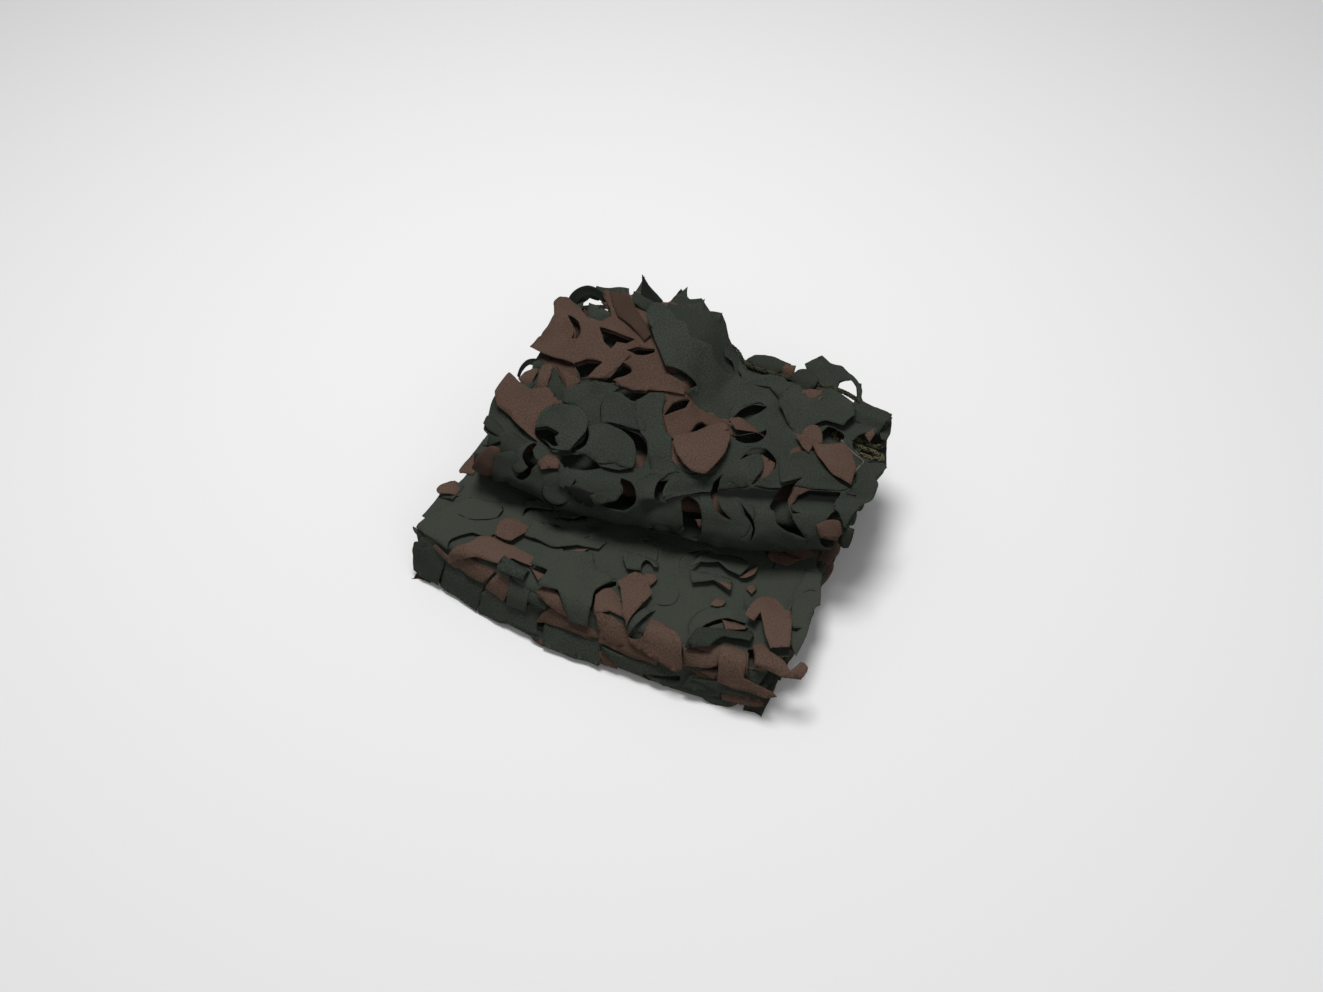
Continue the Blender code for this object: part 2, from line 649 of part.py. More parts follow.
def make_cord(name, route, width, material, collection):
    """A closed round cord along a route."""
    points = smooth_route(route_points(route))
    curve = bpy.data.curves.new(name, "CURVE")
    curve.dimensions = "3D"
    curve.bevel_depth = width / 2.0 * MM
    curve.bevel_resolution = 2
    curve.use_fill_caps = True
    spline = curve.splines.new("POLY")
    spline.points.add(len(points) - 1)
    for point, place in zip(spline.points, points):
        point.co = (*(place * MM), 1.0)
    data = closed_mesh(curve, collection)
    data.materials.clear()
    data.materials.append(material)
    data.shade_smooth()
    data.set_sharp_from_angle(angle=SHARP_ANGLE)
    return new_object(name, data, collection)


def make_net(collection, cutters):
    leaves = leaf_rows()
    strip = flat_strip(collection)
    cutter = knife([crescent(leaf) for leaf in leaves] + scallops() + [end_cut()], cutters)
    cut = strip.modifiers.new("leaf_cuts", "BOOLEAN")
    cut.operation = "DIFFERENCE"
    cut.solver = "EXACT"
    cut.object = cutter
    apply_modifiers(strip)
    mesh = bmesh.new()
    mesh.from_mesh(strip.data)
    bmesh.ops.remove_doubles(mesh, verts=mesh.verts, dist=WELD)
    bmesh.ops.triangulate(mesh, faces=mesh.faces)
    mesh.to_mesh(strip.data)
    mesh.free()
    places = np.array([vertex.co for vertex in strip.data.vertices]) / MM
    across, along, out = places[:, 0], places[:, 1], places[:, 2]
    across, along, out = lift_leaves(across, along, out, leaves)
    out = stand_tips(across, along, out)
    points = folded(across, along, out) * MM
    strip.data.vertices.foreach_set("co", points.ravel())
    strip.data.shade_smooth()
    strip.data.set_sharp_from_angle(angle=SHARP_ANGLE)
    strip.data.materials.append(new_material("net_cloth", (0.041, 0.048, 0.038), 0.75))
    return strip


def set_on_origin(collection):
    """Move everything so that the origin is at the bottom centre of the whole."""
    corners = np.array([vertex.co for item in collection.objects for vertex in item.data.vertices])
    low, high = corners.min(axis=0), corners.max(axis=0)
    shift = np.array([(low[0] + high[0]) / 2.0, (low[1] + high[1]) / 2.0, low[2]])
    for item in collection.objects:
        places = np.array([vertex.co for vertex in item.data.vertices]) - shift
        item.data.vertices.foreach_set("co", places.ravel())
        item.data.update()


if __name__ == "__main__":
    product = new_collection("camouflage_net")
    tools = new_collection("cutters")
    make_net(product, tools)
    olive = new_material("cord_braid", (0.075, 0.075, 0.04), 0.8)
    pale = new_material("string", (0.25, 0.24, 0.2), 0.8)
    make_cord("edge_cord", CORD_ROUTE, CORD_WIDTH, olive, product)
    make_cord("string_end", STRING_ROUTE, STRING_WIDTH, pale, product)
    set_on_origin(product)
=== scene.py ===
"""The finished looks of a folded, leaf-cut camouflage net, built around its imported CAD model.

The cloth is made as the real one is: a flat strip is cut, its leaves and edges are curled, and it is folded.
Sizes are in millimetres on the cloth and in metres in the scene. Front is -Y, +X is to the right, +Z is up.
"""

import math
import random

import bpy
import numpy as np
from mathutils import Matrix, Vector, geometry


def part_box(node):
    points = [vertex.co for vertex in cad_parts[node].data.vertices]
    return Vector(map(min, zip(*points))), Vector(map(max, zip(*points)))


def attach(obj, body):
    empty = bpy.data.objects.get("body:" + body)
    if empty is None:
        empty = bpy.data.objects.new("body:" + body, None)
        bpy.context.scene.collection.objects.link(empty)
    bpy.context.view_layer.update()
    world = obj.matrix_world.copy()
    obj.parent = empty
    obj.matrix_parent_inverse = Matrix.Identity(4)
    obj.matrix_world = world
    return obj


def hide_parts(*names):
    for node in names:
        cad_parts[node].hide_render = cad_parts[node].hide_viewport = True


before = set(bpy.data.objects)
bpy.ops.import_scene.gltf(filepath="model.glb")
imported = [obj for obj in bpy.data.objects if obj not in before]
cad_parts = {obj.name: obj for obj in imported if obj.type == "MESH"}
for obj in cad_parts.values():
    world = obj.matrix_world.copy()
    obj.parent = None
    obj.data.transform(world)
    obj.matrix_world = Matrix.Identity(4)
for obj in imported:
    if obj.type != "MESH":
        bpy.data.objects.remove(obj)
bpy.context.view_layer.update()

MM = 0.001
# Where the random draws and the uneven values start from.
SEEDS = {
    "leaf_rows": 7, "scallops": 11, "patches": 23, "tabs": 58, "wander_across": 3, "wander_along": 4,
    "strip_curl": 9, "strip_shade": 12, "ply_curl": 31, "ply_shade": 40,
}

# ------------------------------------------------------------------ the folded form, as the CAD model has it
STRIP_WIDTH = 400.0

# The levels at which the cloth lies. Each row holds where the level's left and right borders lie and how
# high the middle of the cloth is there, first at the level's front and then at its back, and how much of the
# raised left back it takes part in.
LEVEL_COLUMNS = (
    "front_left", "front_right", "back_left", "back_right",
    "front_left_z", "front_right_z", "back_left_z", "back_right_z", "hump",
)
LEVELS = {
    "low_0": (-190.0, 196.0, -198.0, 186.0, 0.7, 0.7, 0.7, 0.7, 0.0),
    "low_1": (-198.0, 192.0, -205.0, 182.0, 10.5, 9.5, 10.5, 10.0, 0.0),
    "low_2": (-189.0, 201.0, -196.0, 190.0, 20.5, 18.5, 20.0, 19.5, 0.0),
    "low_3": (-199.0, 194.0, -203.0, 184.0, 30.5, 27.5, 29.5, 28.5, 0.0),
    "low_4": (-190.0, 203.0, -198.0, 188.0, 40.5, 36.5, 38.5, 37.5, 0.0),
    "low_5": (-207.0, 206.0, -202.0, 182.0, 51.0, 46.0, 47.5, 47.0, 0.0),
    "high_8": (-186.0, 199.0, -188.0, 200.0, 86.0, 79.0, 92.0, 84.0, 0.75),
    "high_7": (-178.0, 204.0, -182.0, 202.0, 74.0, 68.0, 76.0, 70.0, 0.5),
    "high_6": (-184.0, 196.0, -188.0, 192.0, 62.0, 56.5, 60.0, 58.0, 0.3),
    "top": (-174.0, 199.0, -179.0, 199.0, 103.0, 97.0, 114.0, 101.0, 1.0),
}
LOW_FRONT, HIGH_FRONT, LEVEL_BACK = -165.0, -40.0, 165.0

# The folds between one level and the next. Each row holds how far forward or back the fold reaches at the
# left border, at the middle and at the right border, and how far it bulges past the levels that it joins.
FOLD_COLUMNS = ("left", "middle", "right", "bulge")
FOLDS = {
    "front_01": (-158.0, -184.0, -164.0, 7.0),
    "back_12": (160.0, 166.0, 162.0, 6.0),
    "front_23": (-152.0, -172.0, -163.0, 7.0),
    "back_34": (163.0, 160.0, 166.0, 6.0),
    "front_45": (-146.0, -161.0, -149.0, 8.0),
    "back_58": (168.0, 171.0, 164.0, 9.0),
    "inner_87": (-26.0, -30.0, 22.0, 8.0),
    "inner_76": (150.0, 152.0, 146.0, 7.0),
    "roll": (-62.0, -65.0, -8.0, 23.0),
}
# The strip's two raw ends, read as folds without a bulge.
ENDS = {
    "start": (158.0, 160.0, 156.0, 0.0),
    "end": (172.0, 180.0, 166.0, 0.0),
}
AT_THE_BACK = ("start", "back_12", "back_34", "back_58", "inner_76", "end")
# The order in which the strip runs through its levels and folds.
RUN = (
    "low_0", "front_01", "low_1", "back_12", "low_2", "front_23", "low_3", "back_34", "low_4", "front_45",
    "low_5", "back_58", "high_8", "inner_87", "high_7", "inner_76", "high_6", "roll", "top",
)

# How uneven the pile is: a ripple that all the levels share, one of each level's own, and folds that wander.
SHARED_RIPPLE = 2.2
OWN_RIPPLE = 0.8
FOLD_WANDER = 2.5
FULL_RIPPLE_HEIGHT = 45.0
# The lengths of their waves, in millimetres for each radian, their phases, which differ from one fold or
# level to the next, and how much of the shared ripple is slanting waves.
WANDER_WAVE, WANDER_PHASE = 29.0, 1.7
SHARED_WAVE_X, SHARED_WAVE_Y, SHARED_WAVE_SLANT, SHARED_PHASE, SLANT_SHARE = 33.0, 41.0, 52.0, 0.6, 0.6
OWN_WAVE_X, OWN_WAVE_Y, OWN_PHASE, OWN_PHASE_Y = 27.0, 24.0, 2.3, 1.9
# How far past its front and back a level's slopes run on, as a share of its depth.
LEVEL_OVERRUN = 0.2
# Up to this height the cloth doesn't ripple.
RESTING_HEIGHT = 1.0

# The form of the top: its swell, the trough behind the roll's crown, and the raised left half of the back.
SWELL_HEIGHT, SWELL_LENGTH = 5.0, 230.0
TROUGH_DEPTH, TROUGH_BEHIND_ROLL, TROUGH_HALF_WIDTH = 6.0, 46.0, 12.0
HUMP_HEIGHT = 36.0
HUMP_Y = (20.0, 175.0)
HUMP_X = (26.0, -24.0)
HUMP_LOSS, HUMP_LOSS_X = 0.55, (-100.0, -185.0)


def row_of(table, columns, name):
    """One row of a table, as a dict from column to value."""
    return dict(zip(columns, table[name]))


def rows_of(table, columns):
    """The rows of a table, each as a dict from column to value."""
    return [dict(zip(columns, row)) for row in table]


def smooth(value, low, high):
    """0 at low and 1 at high, with a smooth step between them; low may be above high."""
    t = np.clip((value - low) / (high - low), 0.0, 1.0)
    return t * t * (3.0 - 2.0 * t)


# ------------------------------------------------------------------ the folded form
# A place on the strip is given by across, from -half to half its width, and along, from its start.
def edge_y(name, across):
    """How far forward or back a fold or a raw end reaches: a curve through its places, and its wander."""
    edges = {**FOLDS, **ENDS}
    row = row_of(edges, FOLD_COLUMNS, name)
    t = across / (STRIP_WIDTH / 2.0)
    bow = (row["left"] + row["right"]) / 2.0 - row["middle"]
    line = row["middle"] + (row["right"] - row["left"]) / 2.0 * t + bow * t * t
    return line + FOLD_WANDER * np.sin(across / WANDER_WAVE + WANDER_PHASE * list(edges).index(name))


def level_end(name, across):
    """Where a level ends and its fold begins."""
    bulge = row_of({**FOLDS, **ENDS}, FOLD_COLUMNS, name)["bulge"]
    return edge_y(name, across) - (bulge if name in AT_THE_BACK else -bulge)


def level_point(name, across, y):
    """Where a place across a level lies in x, and how high the middle of the cloth is there."""
    row = row_of(LEVELS, LEVEL_COLUMNS, name)
    share = across / STRIP_WIDTH + 0.5
    front = LOW_FRONT if name.startswith("low") else HIGH_FRONT
    depth = np.clip((y - front) / (LEVEL_BACK - front), -LEVEL_OVERRUN, 1.0 + LEVEL_OVERRUN)
    x_front = row["front_left"] + (row["front_right"] - row["front_left"]) * share
    x_back = row["back_left"] + (row["back_right"] - row["back_left"]) * share
    x = x_front + (x_back - x_front) * depth
    z_front = row["front_left_z"] + (row["front_right_z"] - row["front_left_z"]) * share
    z_back = row["back_left_z"] + (row["back_right_z"] - row["back_left_z"]) * share
    z = z_front + (z_back - z_front) * depth
    loose = np.clip((z - RESTING_HEIGHT) / FULL_RIPPLE_HEIGHT, 0.0, 1.0)
    shared = np.sin(x / SHARED_WAVE_X + SHARED_PHASE) * np.cos(y / SHARED_WAVE_Y)
    shared = shared + SLANT_SHARE * np.sin((x - y) / SHARED_WAVE_SLANT)
    phase = OWN_PHASE * list(LEVELS).index(name)
    own = np.sin(x / OWN_WAVE_X + phase) * np.sin(y / OWN_WAVE_Y + OWN_PHASE_Y * phase)
    z = z + loose * (SHARED_RIPPLE * shared + OWN_RIPPLE * own)
    if name == "top":
        behind = y - edge_y("roll", across)
        z = z + SWELL_HEIGHT * np.sin(np.clip(behind / SWELL_LENGTH, 0.0, 1.0) * math.pi)
        z = z - TROUGH_DEPTH * np.exp(-(((behind - TROUGH_BEHIND_ROLL) / TROUGH_HALF_WIDTH) ** 2))
    hump = row["hump"] * HUMP_HEIGHT * smooth(y, *HUMP_Y) * smooth(x, *HUMP_X)
    return x, z + hump * (1.0 - HUMP_LOSS * smooth(x, *HUMP_LOSS_X))


def stretches():
    """The run as rows of its levels and folds: name, the names before and after, and the flat length."""
    found = []
    for i, name in enumerate(RUN):
        before = RUN[i - 1] if i else "start"
        after = RUN[i + 1] if i + 1 < len(RUN) else "end"
        if name in LEVELS:
            length = abs(level_end(after, 0.0) - level_end(before, 0.0))
        else:
            a = FOLDS[name][FOLD_COLUMNS.index("bulge")]
            y = level_end(name, 0.0)
            b = abs(level_point(after, 0.0, y)[1] - level_point(before, 0.0, y)[1]) / 2.0
            length = math.pi / 2.0 * (3.0 * (a + b) - math.sqrt((3.0 * a + b) * (a + 3.0 * b)))
        found.append({"name": name, "before": before, "after": after, "length": float(length)})
    return found


STRETCHES = stretches()
STRIP_LENGTH = sum(part["length"] for part in STRETCHES)


def flat_start(name):
    """How far along the strip a level or a fold begins."""
    names = [part["name"] for part in STRETCHES]
    return sum(part["length"] for part in STRETCHES[: names.index(name)])


def middle_surface(across, along):
    """Points of the middle of the folded cloth. Past the strip's ends it runs straight on."""
    points = np.zeros((len(across), 3))
    for part in STRETCHES:
        name, before, after = part["name"], part["before"], part["after"]
        start = flat_start(name)
        begins = along >= start if before != "start" else np.ones(len(along), bool)
        ends = along < start + part["length"] if after != "end" else np.ones(len(along), bool)
        inside = begins & ends
        u, t = across[inside], (along[inside] - start) / part["length"]
        if name in LEVELS:
            y_from, y_to = level_end(before, u), level_end(after, u)
            y = y_from + (y_to - y_from) * t
            x, z = level_point(name, u, y)
        else:
            root = level_end(name, u)
            bulge = edge_y(name, u) - root
            y = root + bulge * np.sin(t * math.pi)
            (x_from, z_from), (x_to, z_to) = level_point(before, u, root), level_point(after, u, root)
            share = (1.0 - np.cos(t * math.pi)) / 2.0
            x, z = x_from + (x_to - x_from) * share, z_from + (z_to - z_from) * share
        points[inside] = np.stack([x, y, z], axis=1)
    return points


SLOPE_STEP = 0.5


def folded(across, along, out):
    """Points of the folded cloth at a distance out from its middle, towards the side that the roll shows."""
    widthwise = middle_surface(across + SLOPE_STEP, along) - middle_surface(across - SLOPE_STEP, along)
    lengthwise = middle_surface(across, along + SLOPE_STEP) - middle_surface(across, along - SLOPE_STEP)
    normal = np.cross(widthwise, lengthwise)
    normal /= np.linalg.norm(normal, axis=1)[:, None]
    return middle_surface(across, along) + normal * out[:, None]


# A leaf is a half-round flap, left hanging on its chord when a crescent is cut round it. Each row holds the
# stretch it is cut in, the middle of its chord (across the strip, and along from where the stretch starts),
# its chord and depth, which way it points on the flat strip in degrees, how far its tip stands out of the
# cloth, and how wide the cut is at the tip.
LEAF_COLUMNS = ("stretch", "across", "along", "chord", "depth", "turn", "lift", "gap")
LEAVES = (
    ("top", -172, 166, 42, 16, -20, 6, 8),
    ("top", -118, 164, 40, 18, -78, 7, 9),
    ("top", -76, 157, 32, 13, -60, 5, 7),
    ("top", -142, 128, 36, 19, -78, 7, 9),
    ("top", -98, 115, 38, 12, 68, 5, 7),
    ("top", -124, 52, 44, 30, -20, 9, 10),
    ("top", -156, 80, 40, 18, 196, 7, 8),
    ("top", -76, 86, 30, 13, 180, 5, 7),
    ("top", -40, 54, 50, 20, 5, 8, 10),
    ("top", -28, 114, 34, 20, -62, 6, 8),
    ("top", 20, 103, 26, 13, 112, 4, 6),
    ("top", 26, 62, 54, 26, -100, 9, 10),
    ("top", 52, 144, 44, 18, 150, 7, 9),
    ("top", 64, 112, 40, 14, -52, 5, 7),
    ("top", 82, 66, 46, 27, 36, 9, 10),
    ("top", -20, 168, 28, 13, 120, 5, 7),
    ("top", 140, 132, 46, 22, 126, 8, 9),
    ("top", 166, 82, 54, 20, 188, 7, 9),
    ("top", 92, 172, 30, 13, -62, 5, 7),
    ("top", 74, 16, 48, 20, 160, 8, 10),
    ("top", 150, 26, 50, 18, 206, 8, 9),
    ("top", -3, 12, 28, 13, 150, 4, 7),
    ("top", 136, 203, 32, 8, 90, 4, 14),
    ("top", -158, 202, 30, 8, 90, 5, 13),
    ("roll", -146, 62, 26, 14, -62, 6, 8),
    ("roll", 36, 46, 42, 15, -30, 6, 9),
    ("roll", 107, 64, 44, 9, 10, 4, 7),
    ("roll", 160, 44, 30, 15, -60, 6, 8),
    ("roll", -50, 60, 38, 26, -10, 8, 10),
    ("roll", -92, 50, 34, 15, -100, 6, 8),
    ("roll", -160, 26, 30, 15, 160, 5, 8),
    ("roll", -8, 24, 34, 16, 220, 6, 8),
    ("roll", 74, 22, 32, 15, -70, 5, 8),
    ("low_5", -160, 56, 42, 23, -30, 4, 8),
    ("low_5", -98, 84, 36, 15, 112, 4, 7),
    ("low_5", -46, 80, 32, 14, -80, 3, 7),
    ("low_5", -98, 38, 34, 17, 206, 4, 7),
    ("low_5", -56, 34, 34, 16, 60, 4, 7),
    ("low_5", 4, 30, 44, 24, 200, 5, 9),
    ("low_5", 24, 76, 38, 18, 30, 4, 8),
    ("low_5", 84, 92, 46, 18, 146, 4, 8),
    ("low_5", 64, 42, 32, 15, -30, 4, 8),
    ("low_5", 124, 24, 52, 22, 150, 5, 9),
    ("low_5", 158, 80, 44, 30, -80, 4, 8),
    ("low_5", 136, 126, 30, 12, 60, 2, 7),
)
# The rows of leaves along the bundle's front, on the outside of its folds, and those inside the pile, where
# the leaves lie twice as far apart. Each row holds the stretch, how far along it the leaves' chords lie,
# where the first is across the strip, how far apart they are, how many, and their depth, turn and lift.
LEAF_ROW_COLUMNS = ("stretch", "along", "first", "apart", "count", "depth", "turn", "lift")
LEAF_ROWS = (
    ("front_01", 18, -152, 61, 6, 11, -86, 5),
    ("front_23", 18, -142, 71, 5, 13, -94, 5),
    ("front_45", 18, -144, 60, 6, 13, -90, 5),
    ("low_0", 90, -140, 140, 3, 20, 70, -2),
    ("low_0", 230, -90, 140, 2, 20, -110, -2),
    ("low_1", 70, -130, 130, 3, 20, 120, 2),
    ("low_1", 210, -80, 150, 2, 20, -60, 2),
    ("low_2", 110, -140, 140, 3, 20, 60, -2),
    ("low_2", 230, -90, 150, 2, 20, -110, -2),
    ("low_3", 80, -120, 130, 3, 20, 110, 2),
    ("low_3", 200, -80, 150, 2, 20, -70, 2),
    ("low_4", 70, -140, 140, 3, 20, 70, -2),
    ("low_4", 190, -90, 150, 2, 20, -120, -2),
    ("low_5", 220, -120, 130, 3, 20, 60, 2),
    ("back_58", 24, -140, 92, 4, 20, 86, -4),
    ("high_8", 90, -130, 130, 3, 20, -110, -2),
    ("high_7", 80, -120, 130, 3, 20, 70, 2),
    ("high_6", 90, -140, 140, 3, 20, 110, -2),
)
ROW_CHORDS = (32.0, 44.0)
ROW_GAP = 7.0
# How unevenly the leaves in rows lie, in millimetres either way, and how unevenly they turn, in degrees.
ROW_SHAKE_ACROSS, ROW_SHAKE_ALONG, ROW_SHAKE_TURN = 6.0, 3.0, 6.0
# How many straight pieces the outside of a cut and its leaf have: those placed by hand, and those in rows.
FINE_STEPS = (24, 20)
ROW_STEPS = (14, 12)

# The scallops cut into the strip's two long borders.
SCALLOP_PITCH, SCALLOP_SHAKE = 84.0, 6.0
SCALLOP_WIDTH = (40.0, 66.0)
SCALLOP_DEPTH = (9.0, 18.0)
SCALLOP_STEPS = 10
# A deeper one lets the cord's turns show at the top's right border: along the top, width and depth.
CORD_NOTCH = ("top", 143.0, 60.0, 26.0)
BORDER_CLEAR = 8.0

# The leaf tips along the strip's raw end, at the back of the top: where they are across the strip, how far
# they reach past the end, how deep the cut behind each one goes, and how far its tip stands up.
TIP_COLUMNS = ("across", "reach", "valley", "stand")
TIPS = (
    (-200, 4, 4, 0),
    (-178, 18, 15, 8),
    (-138, 15, 4, 4),
    (-124, 27, 3, 14),
    (-108, 8, 2, 4),
    (-72, 24, 9, 12),
    (-48, 22, 6, 10),
    (-26, 20, -10, 6),
    (18, 4, -2, 0),
    (62, 8, 2, 2),
    (98, 34, 24, 8),
    (152, 30, 2, 6),
    (184, 8, 0, 0),
    (200, 6, 0, 0),
)
TIP_STEPS = 8
END_MARGIN = 44.0


def shake(chance, most):
    """A random amount, up to the most either way."""
    return chance.uniform(-most, most)


def leaf_rows():
    """The leaves of both tables as dicts, in places on the flat strip."""
    chance = random.Random(SEEDS["leaf_rows"])
    leaves = []
    for number, leaf in enumerate(rows_of(LEAVES, LEAF_COLUMNS)):
        leaf["along"] += flat_start(leaf["stretch"])
        leaf["steps"] = FINE_STEPS
        leaf["row"] = number
        leaves.append(leaf)
    for line in rows_of(LEAF_ROWS, LEAF_ROW_COLUMNS):
        for i in range(line["count"]):
            leaves.append({
                "stretch": line["stretch"],
                "across": line["first"] + line["apart"] * i + shake(chance, ROW_SHAKE_ACROSS),
                "along": flat_start(line["stretch"]) + line["along"] + shake(chance, ROW_SHAKE_ALONG),
                "chord": chance.uniform(*ROW_CHORDS),
                "depth": line["depth"],
                "turn": line["turn"] + shake(chance, ROW_SHAKE_TURN),
                "lift": line["lift"],
                "gap": ROW_GAP,
                "steps": ROW_STEPS,
                "row": None,
            })
    return leaves


def crescent(leaf):
    """Outline of the cut round a leaf, on the flat strip."""
    half, depth, turn = leaf["chord"] / 2.0, leaf["depth"], math.radians(leaf["turn"] - 90.0)
    cut_steps, leaf_steps = leaf["steps"]
    outer = [math.pi * i / cut_steps for i in range(cut_steps + 1)]
    inner = [math.pi * (1.0 - i / leaf_steps) for i in range(1, leaf_steps)]
    local = [(half * math.cos(t), (depth + leaf["gap"]) * math.sin(t)) for t in outer]
    local += [(half * math.cos(t), depth * math.sin(t)) for t in inner]
    return [
        (
            leaf["across"] + p * math.cos(turn) - q * math.sin(turn),
            leaf["along"] + p * math.sin(turn) + q * math.cos(turn),
        )
        for p, q in local
    ]


def scallop(side, along, width, depth):
    """Outline of a scallop in the border on one side, -1 left or 1 right."""
    turns = [math.pi * i / SCALLOP_STEPS for i in range(SCALLOP_STEPS + 1)]
    half_width = STRIP_WIDTH / 2.0
    curve = [(side * (half_width - depth * math.sin(t)), along - width / 2.0 * math.cos(t)) for t in turns]
    curve[0] = (side * (half_width + BORDER_CLEAR), curve[0][1])
    curve[-1] = (side * (half_width + BORDER_CLEAR), curve[-1][1])
    return curve


def scallops():
    """Outlines of all the scallops in the two long borders."""
    chance = random.Random(SEEDS["scallops"])
    notch_stretch, notch_along, notch_width, notch_depth = CORD_NOTCH
    notch = flat_start(notch_stretch) + notch_along
    outlines = [scallop(1, notch, notch_width, notch_depth)]
    for side in (-1, 1):
        along = SCALLOP_PITCH / 2.0
        while along < STRIP_LENGTH - SCALLOP_PITCH / 2.0:
            width, depth = chance.uniform(*SCALLOP_WIDTH), chance.uniform(*SCALLOP_DEPTH)
            if side < 0 or abs(along - notch) > SCALLOP_PITCH:
                outlines.append(scallop(side, along, width, depth))
            along += SCALLOP_PITCH + shake(chance, SCALLOP_SHAKE)
    return outlines


def end_cut():
    """Outline of all that is cut away behind the leaf tips, along the strip's raw end."""
    tips = rows_of(TIPS, TIP_COLUMNS)
    outline = [(tips[0]["across"] - BORDER_CLEAR, STRIP_LENGTH + tips[0]["reach"])]
    for left, right in zip(tips, tips[1:]):
        outline.append((left["across"], STRIP_LENGTH + left["reach"]))
        for i in range(1, TIP_STEPS):
            t = i / TIP_STEPS
            straight = left["reach"] * (1.0 - t) + right["reach"] * t
            sag = 4.0 * t * (1.0 - t)
            outline.append((
                left["across"] + (right["across"] - left["across"]) * t,
                STRIP_LENGTH + straight + (left["valley"] - straight) * sag,
            ))
    outline.append((tips[-1]["across"] + BORDER_CLEAR, STRIP_LENGTH + tips[-1]["reach"]))
    outline.append((tips[-1]["across"] + BORDER_CLEAR, STRIP_LENGTH + END_MARGIN + BORDER_CLEAR))
    outline.append((tips[0]["across"] - BORDER_CLEAR, STRIP_LENGTH + END_MARGIN + BORDER_CLEAR))
    return outline


# A point belongs to a leaf up to this much past the leaf's edge, so that the edge itself does.
LEAF_EDGE = 1.02


def on_a_leaf(leaf, across, along, behind=0.0, edge=LEAF_EDGE):
    """Where points lie along a leaf's chord and out from it, and which of them are on the leaf."""
    turn = math.radians(leaf["turn"])
    dx, dy = across - leaf["across"], along - leaf["along"]
    q = dx * math.cos(turn) + dy * math.sin(turn)
    p = -dx * math.sin(turn) + dy * math.cos(turn)
    return p, q, (q > -behind) & ((p / (leaf["chord"] / 2.0)) ** 2 + (q / leaf["depth"]) ** 2 < edge)


def lift_leaves(across, along, out, leaves):
    """Bend each leaf about its chord, as an arc of a circle, until its tip stands at its lift."""
    across, along, out = across.copy(), along.copy(), out.copy()
    for leaf in leaves:
        turn = math.radians(leaf["turn"])
        _, q, on_leaf = on_a_leaf(leaf, across, along)
        curve = 2.0 * leaf["lift"] / leaf["depth"] ** 2
        bend = curve * q[on_leaf]
        drawn_in = np.sin(bend) / curve - q[on_leaf] - out[on_leaf] * np.sin(bend)
        across[on_leaf] += drawn_in * math.cos(turn)
        along[on_leaf] += drawn_in * math.sin(turn)
        out[on_leaf] = (1.0 - np.cos(bend)) / curve + out[on_leaf] * np.cos(bend)
    return across, along, out


def stand_tips(across, along, out):
    """Raise the leaf tips past the strip's raw end."""
    tips = rows_of(TIPS, TIP_COLUMNS)
    places = [tip["across"] for tip in tips]
    stand = np.interp(across, places, [tip["stand"] for tip in tips])
    past = np.clip((along - STRIP_LENGTH) / END_MARGIN, 0.0, 1.0)
    return out + stand * past * (2.0 - past)


# The form above has its own origin. This is where the CAD model's lowest corner lies in it, in millimetres.
NET_LOW_CORNER = (-206.493, -189.227, 0.0)
FORM_SHIFT = np.array(NET_LOW_CORNER) - np.array(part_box("net")[0]) / MM


def place(points):
    """Points in millimetres on the folded form, as places in the scene in metres."""
    return (points - FORM_SHIFT) * MM


# ------------------------------------------------------------------ the fine cloth
CLOTH_THICKNESS = 0.55
# How far apart the fine cloth's points lie, across and along, where it shows, and on the hidden stretches.
FINE_SPACING = {
    "top": (4.2, 4.2), "roll": (4.2, 3.6), "low_5": (4.2, 4.2), "front_45": (4.2, 3.0),
    "front_23": (5.0, 3.2), "front_01": (5.0, 3.2), "back_58": (7.0, 5.0),
}
LEVEL_SPACING, FOLD_SPACING = (12.0, 16.0), (10.0, 3.4)
# How much of the lower pad's top shows, from its front.
LOW_5_SEEN = 190.0
# How far inside a piece's borders its points begin, and the steps along the cuts and the borders.
GRID_MARGIN = 1.0
CUT_STEP, SCALLOP_STEP, RIM_STEP = 3.0, 4.0, 6.0
# Points closer than this are taken as one.
SAME_PLACE = 0.001
# An uneven value is a sum of waves: how many, their sizes against the lumps', how much, over what size and
# with what phase each one bends, and what the sum is divided by.
NOISE_WAVES, NOISE_SIZES = 7, (0.7, 1.6)
NOISE_BEND, NOISE_BEND_SIZE, NOISE_BEND_PHASE = 1.3, 1.7, 2.0
NOISE_DIVIDER = 4.0


def smooth_noise(points, size, seed):
    """A soft uneven value, mostly from -1 to 1, at each point, with lumps of about the given size."""
    chance = random.Random(seed)
    value = np.zeros(len(points))
    for _ in range(NOISE_WAVES):
        turn, phase = chance.uniform(0.0, math.tau), chance.uniform(0.0, math.tau)
        wave = size * chance.uniform(*NOISE_SIZES)
        reach = points[:, 0] * math.cos(turn) + points[:, 1] * math.sin(turn)
        bend = NOISE_BEND * np.sin(reach / wave / NOISE_BEND_SIZE + NOISE_BEND_PHASE * phase)
        value += np.sin(reach / wave * math.tau + phase + bend)
    return value / NOISE_DIVIDER


def sides_of(outline):
    """The sides of a closed outline, each as its two ends."""
    corners = np.asarray(outline, float)
    return zip(corners, np.roll(corners, -1, axis=0))


def near_outline(points, outline, most):
    """The numbers of the points that lie in an outline's box, which is widened by a most."""
    corners = np.asarray(outline, float)
    low, high = corners.min(axis=0) - most, corners.max(axis=0) + most
    return np.where(((points >= low) & (points <= high)).all(axis=1))[0]


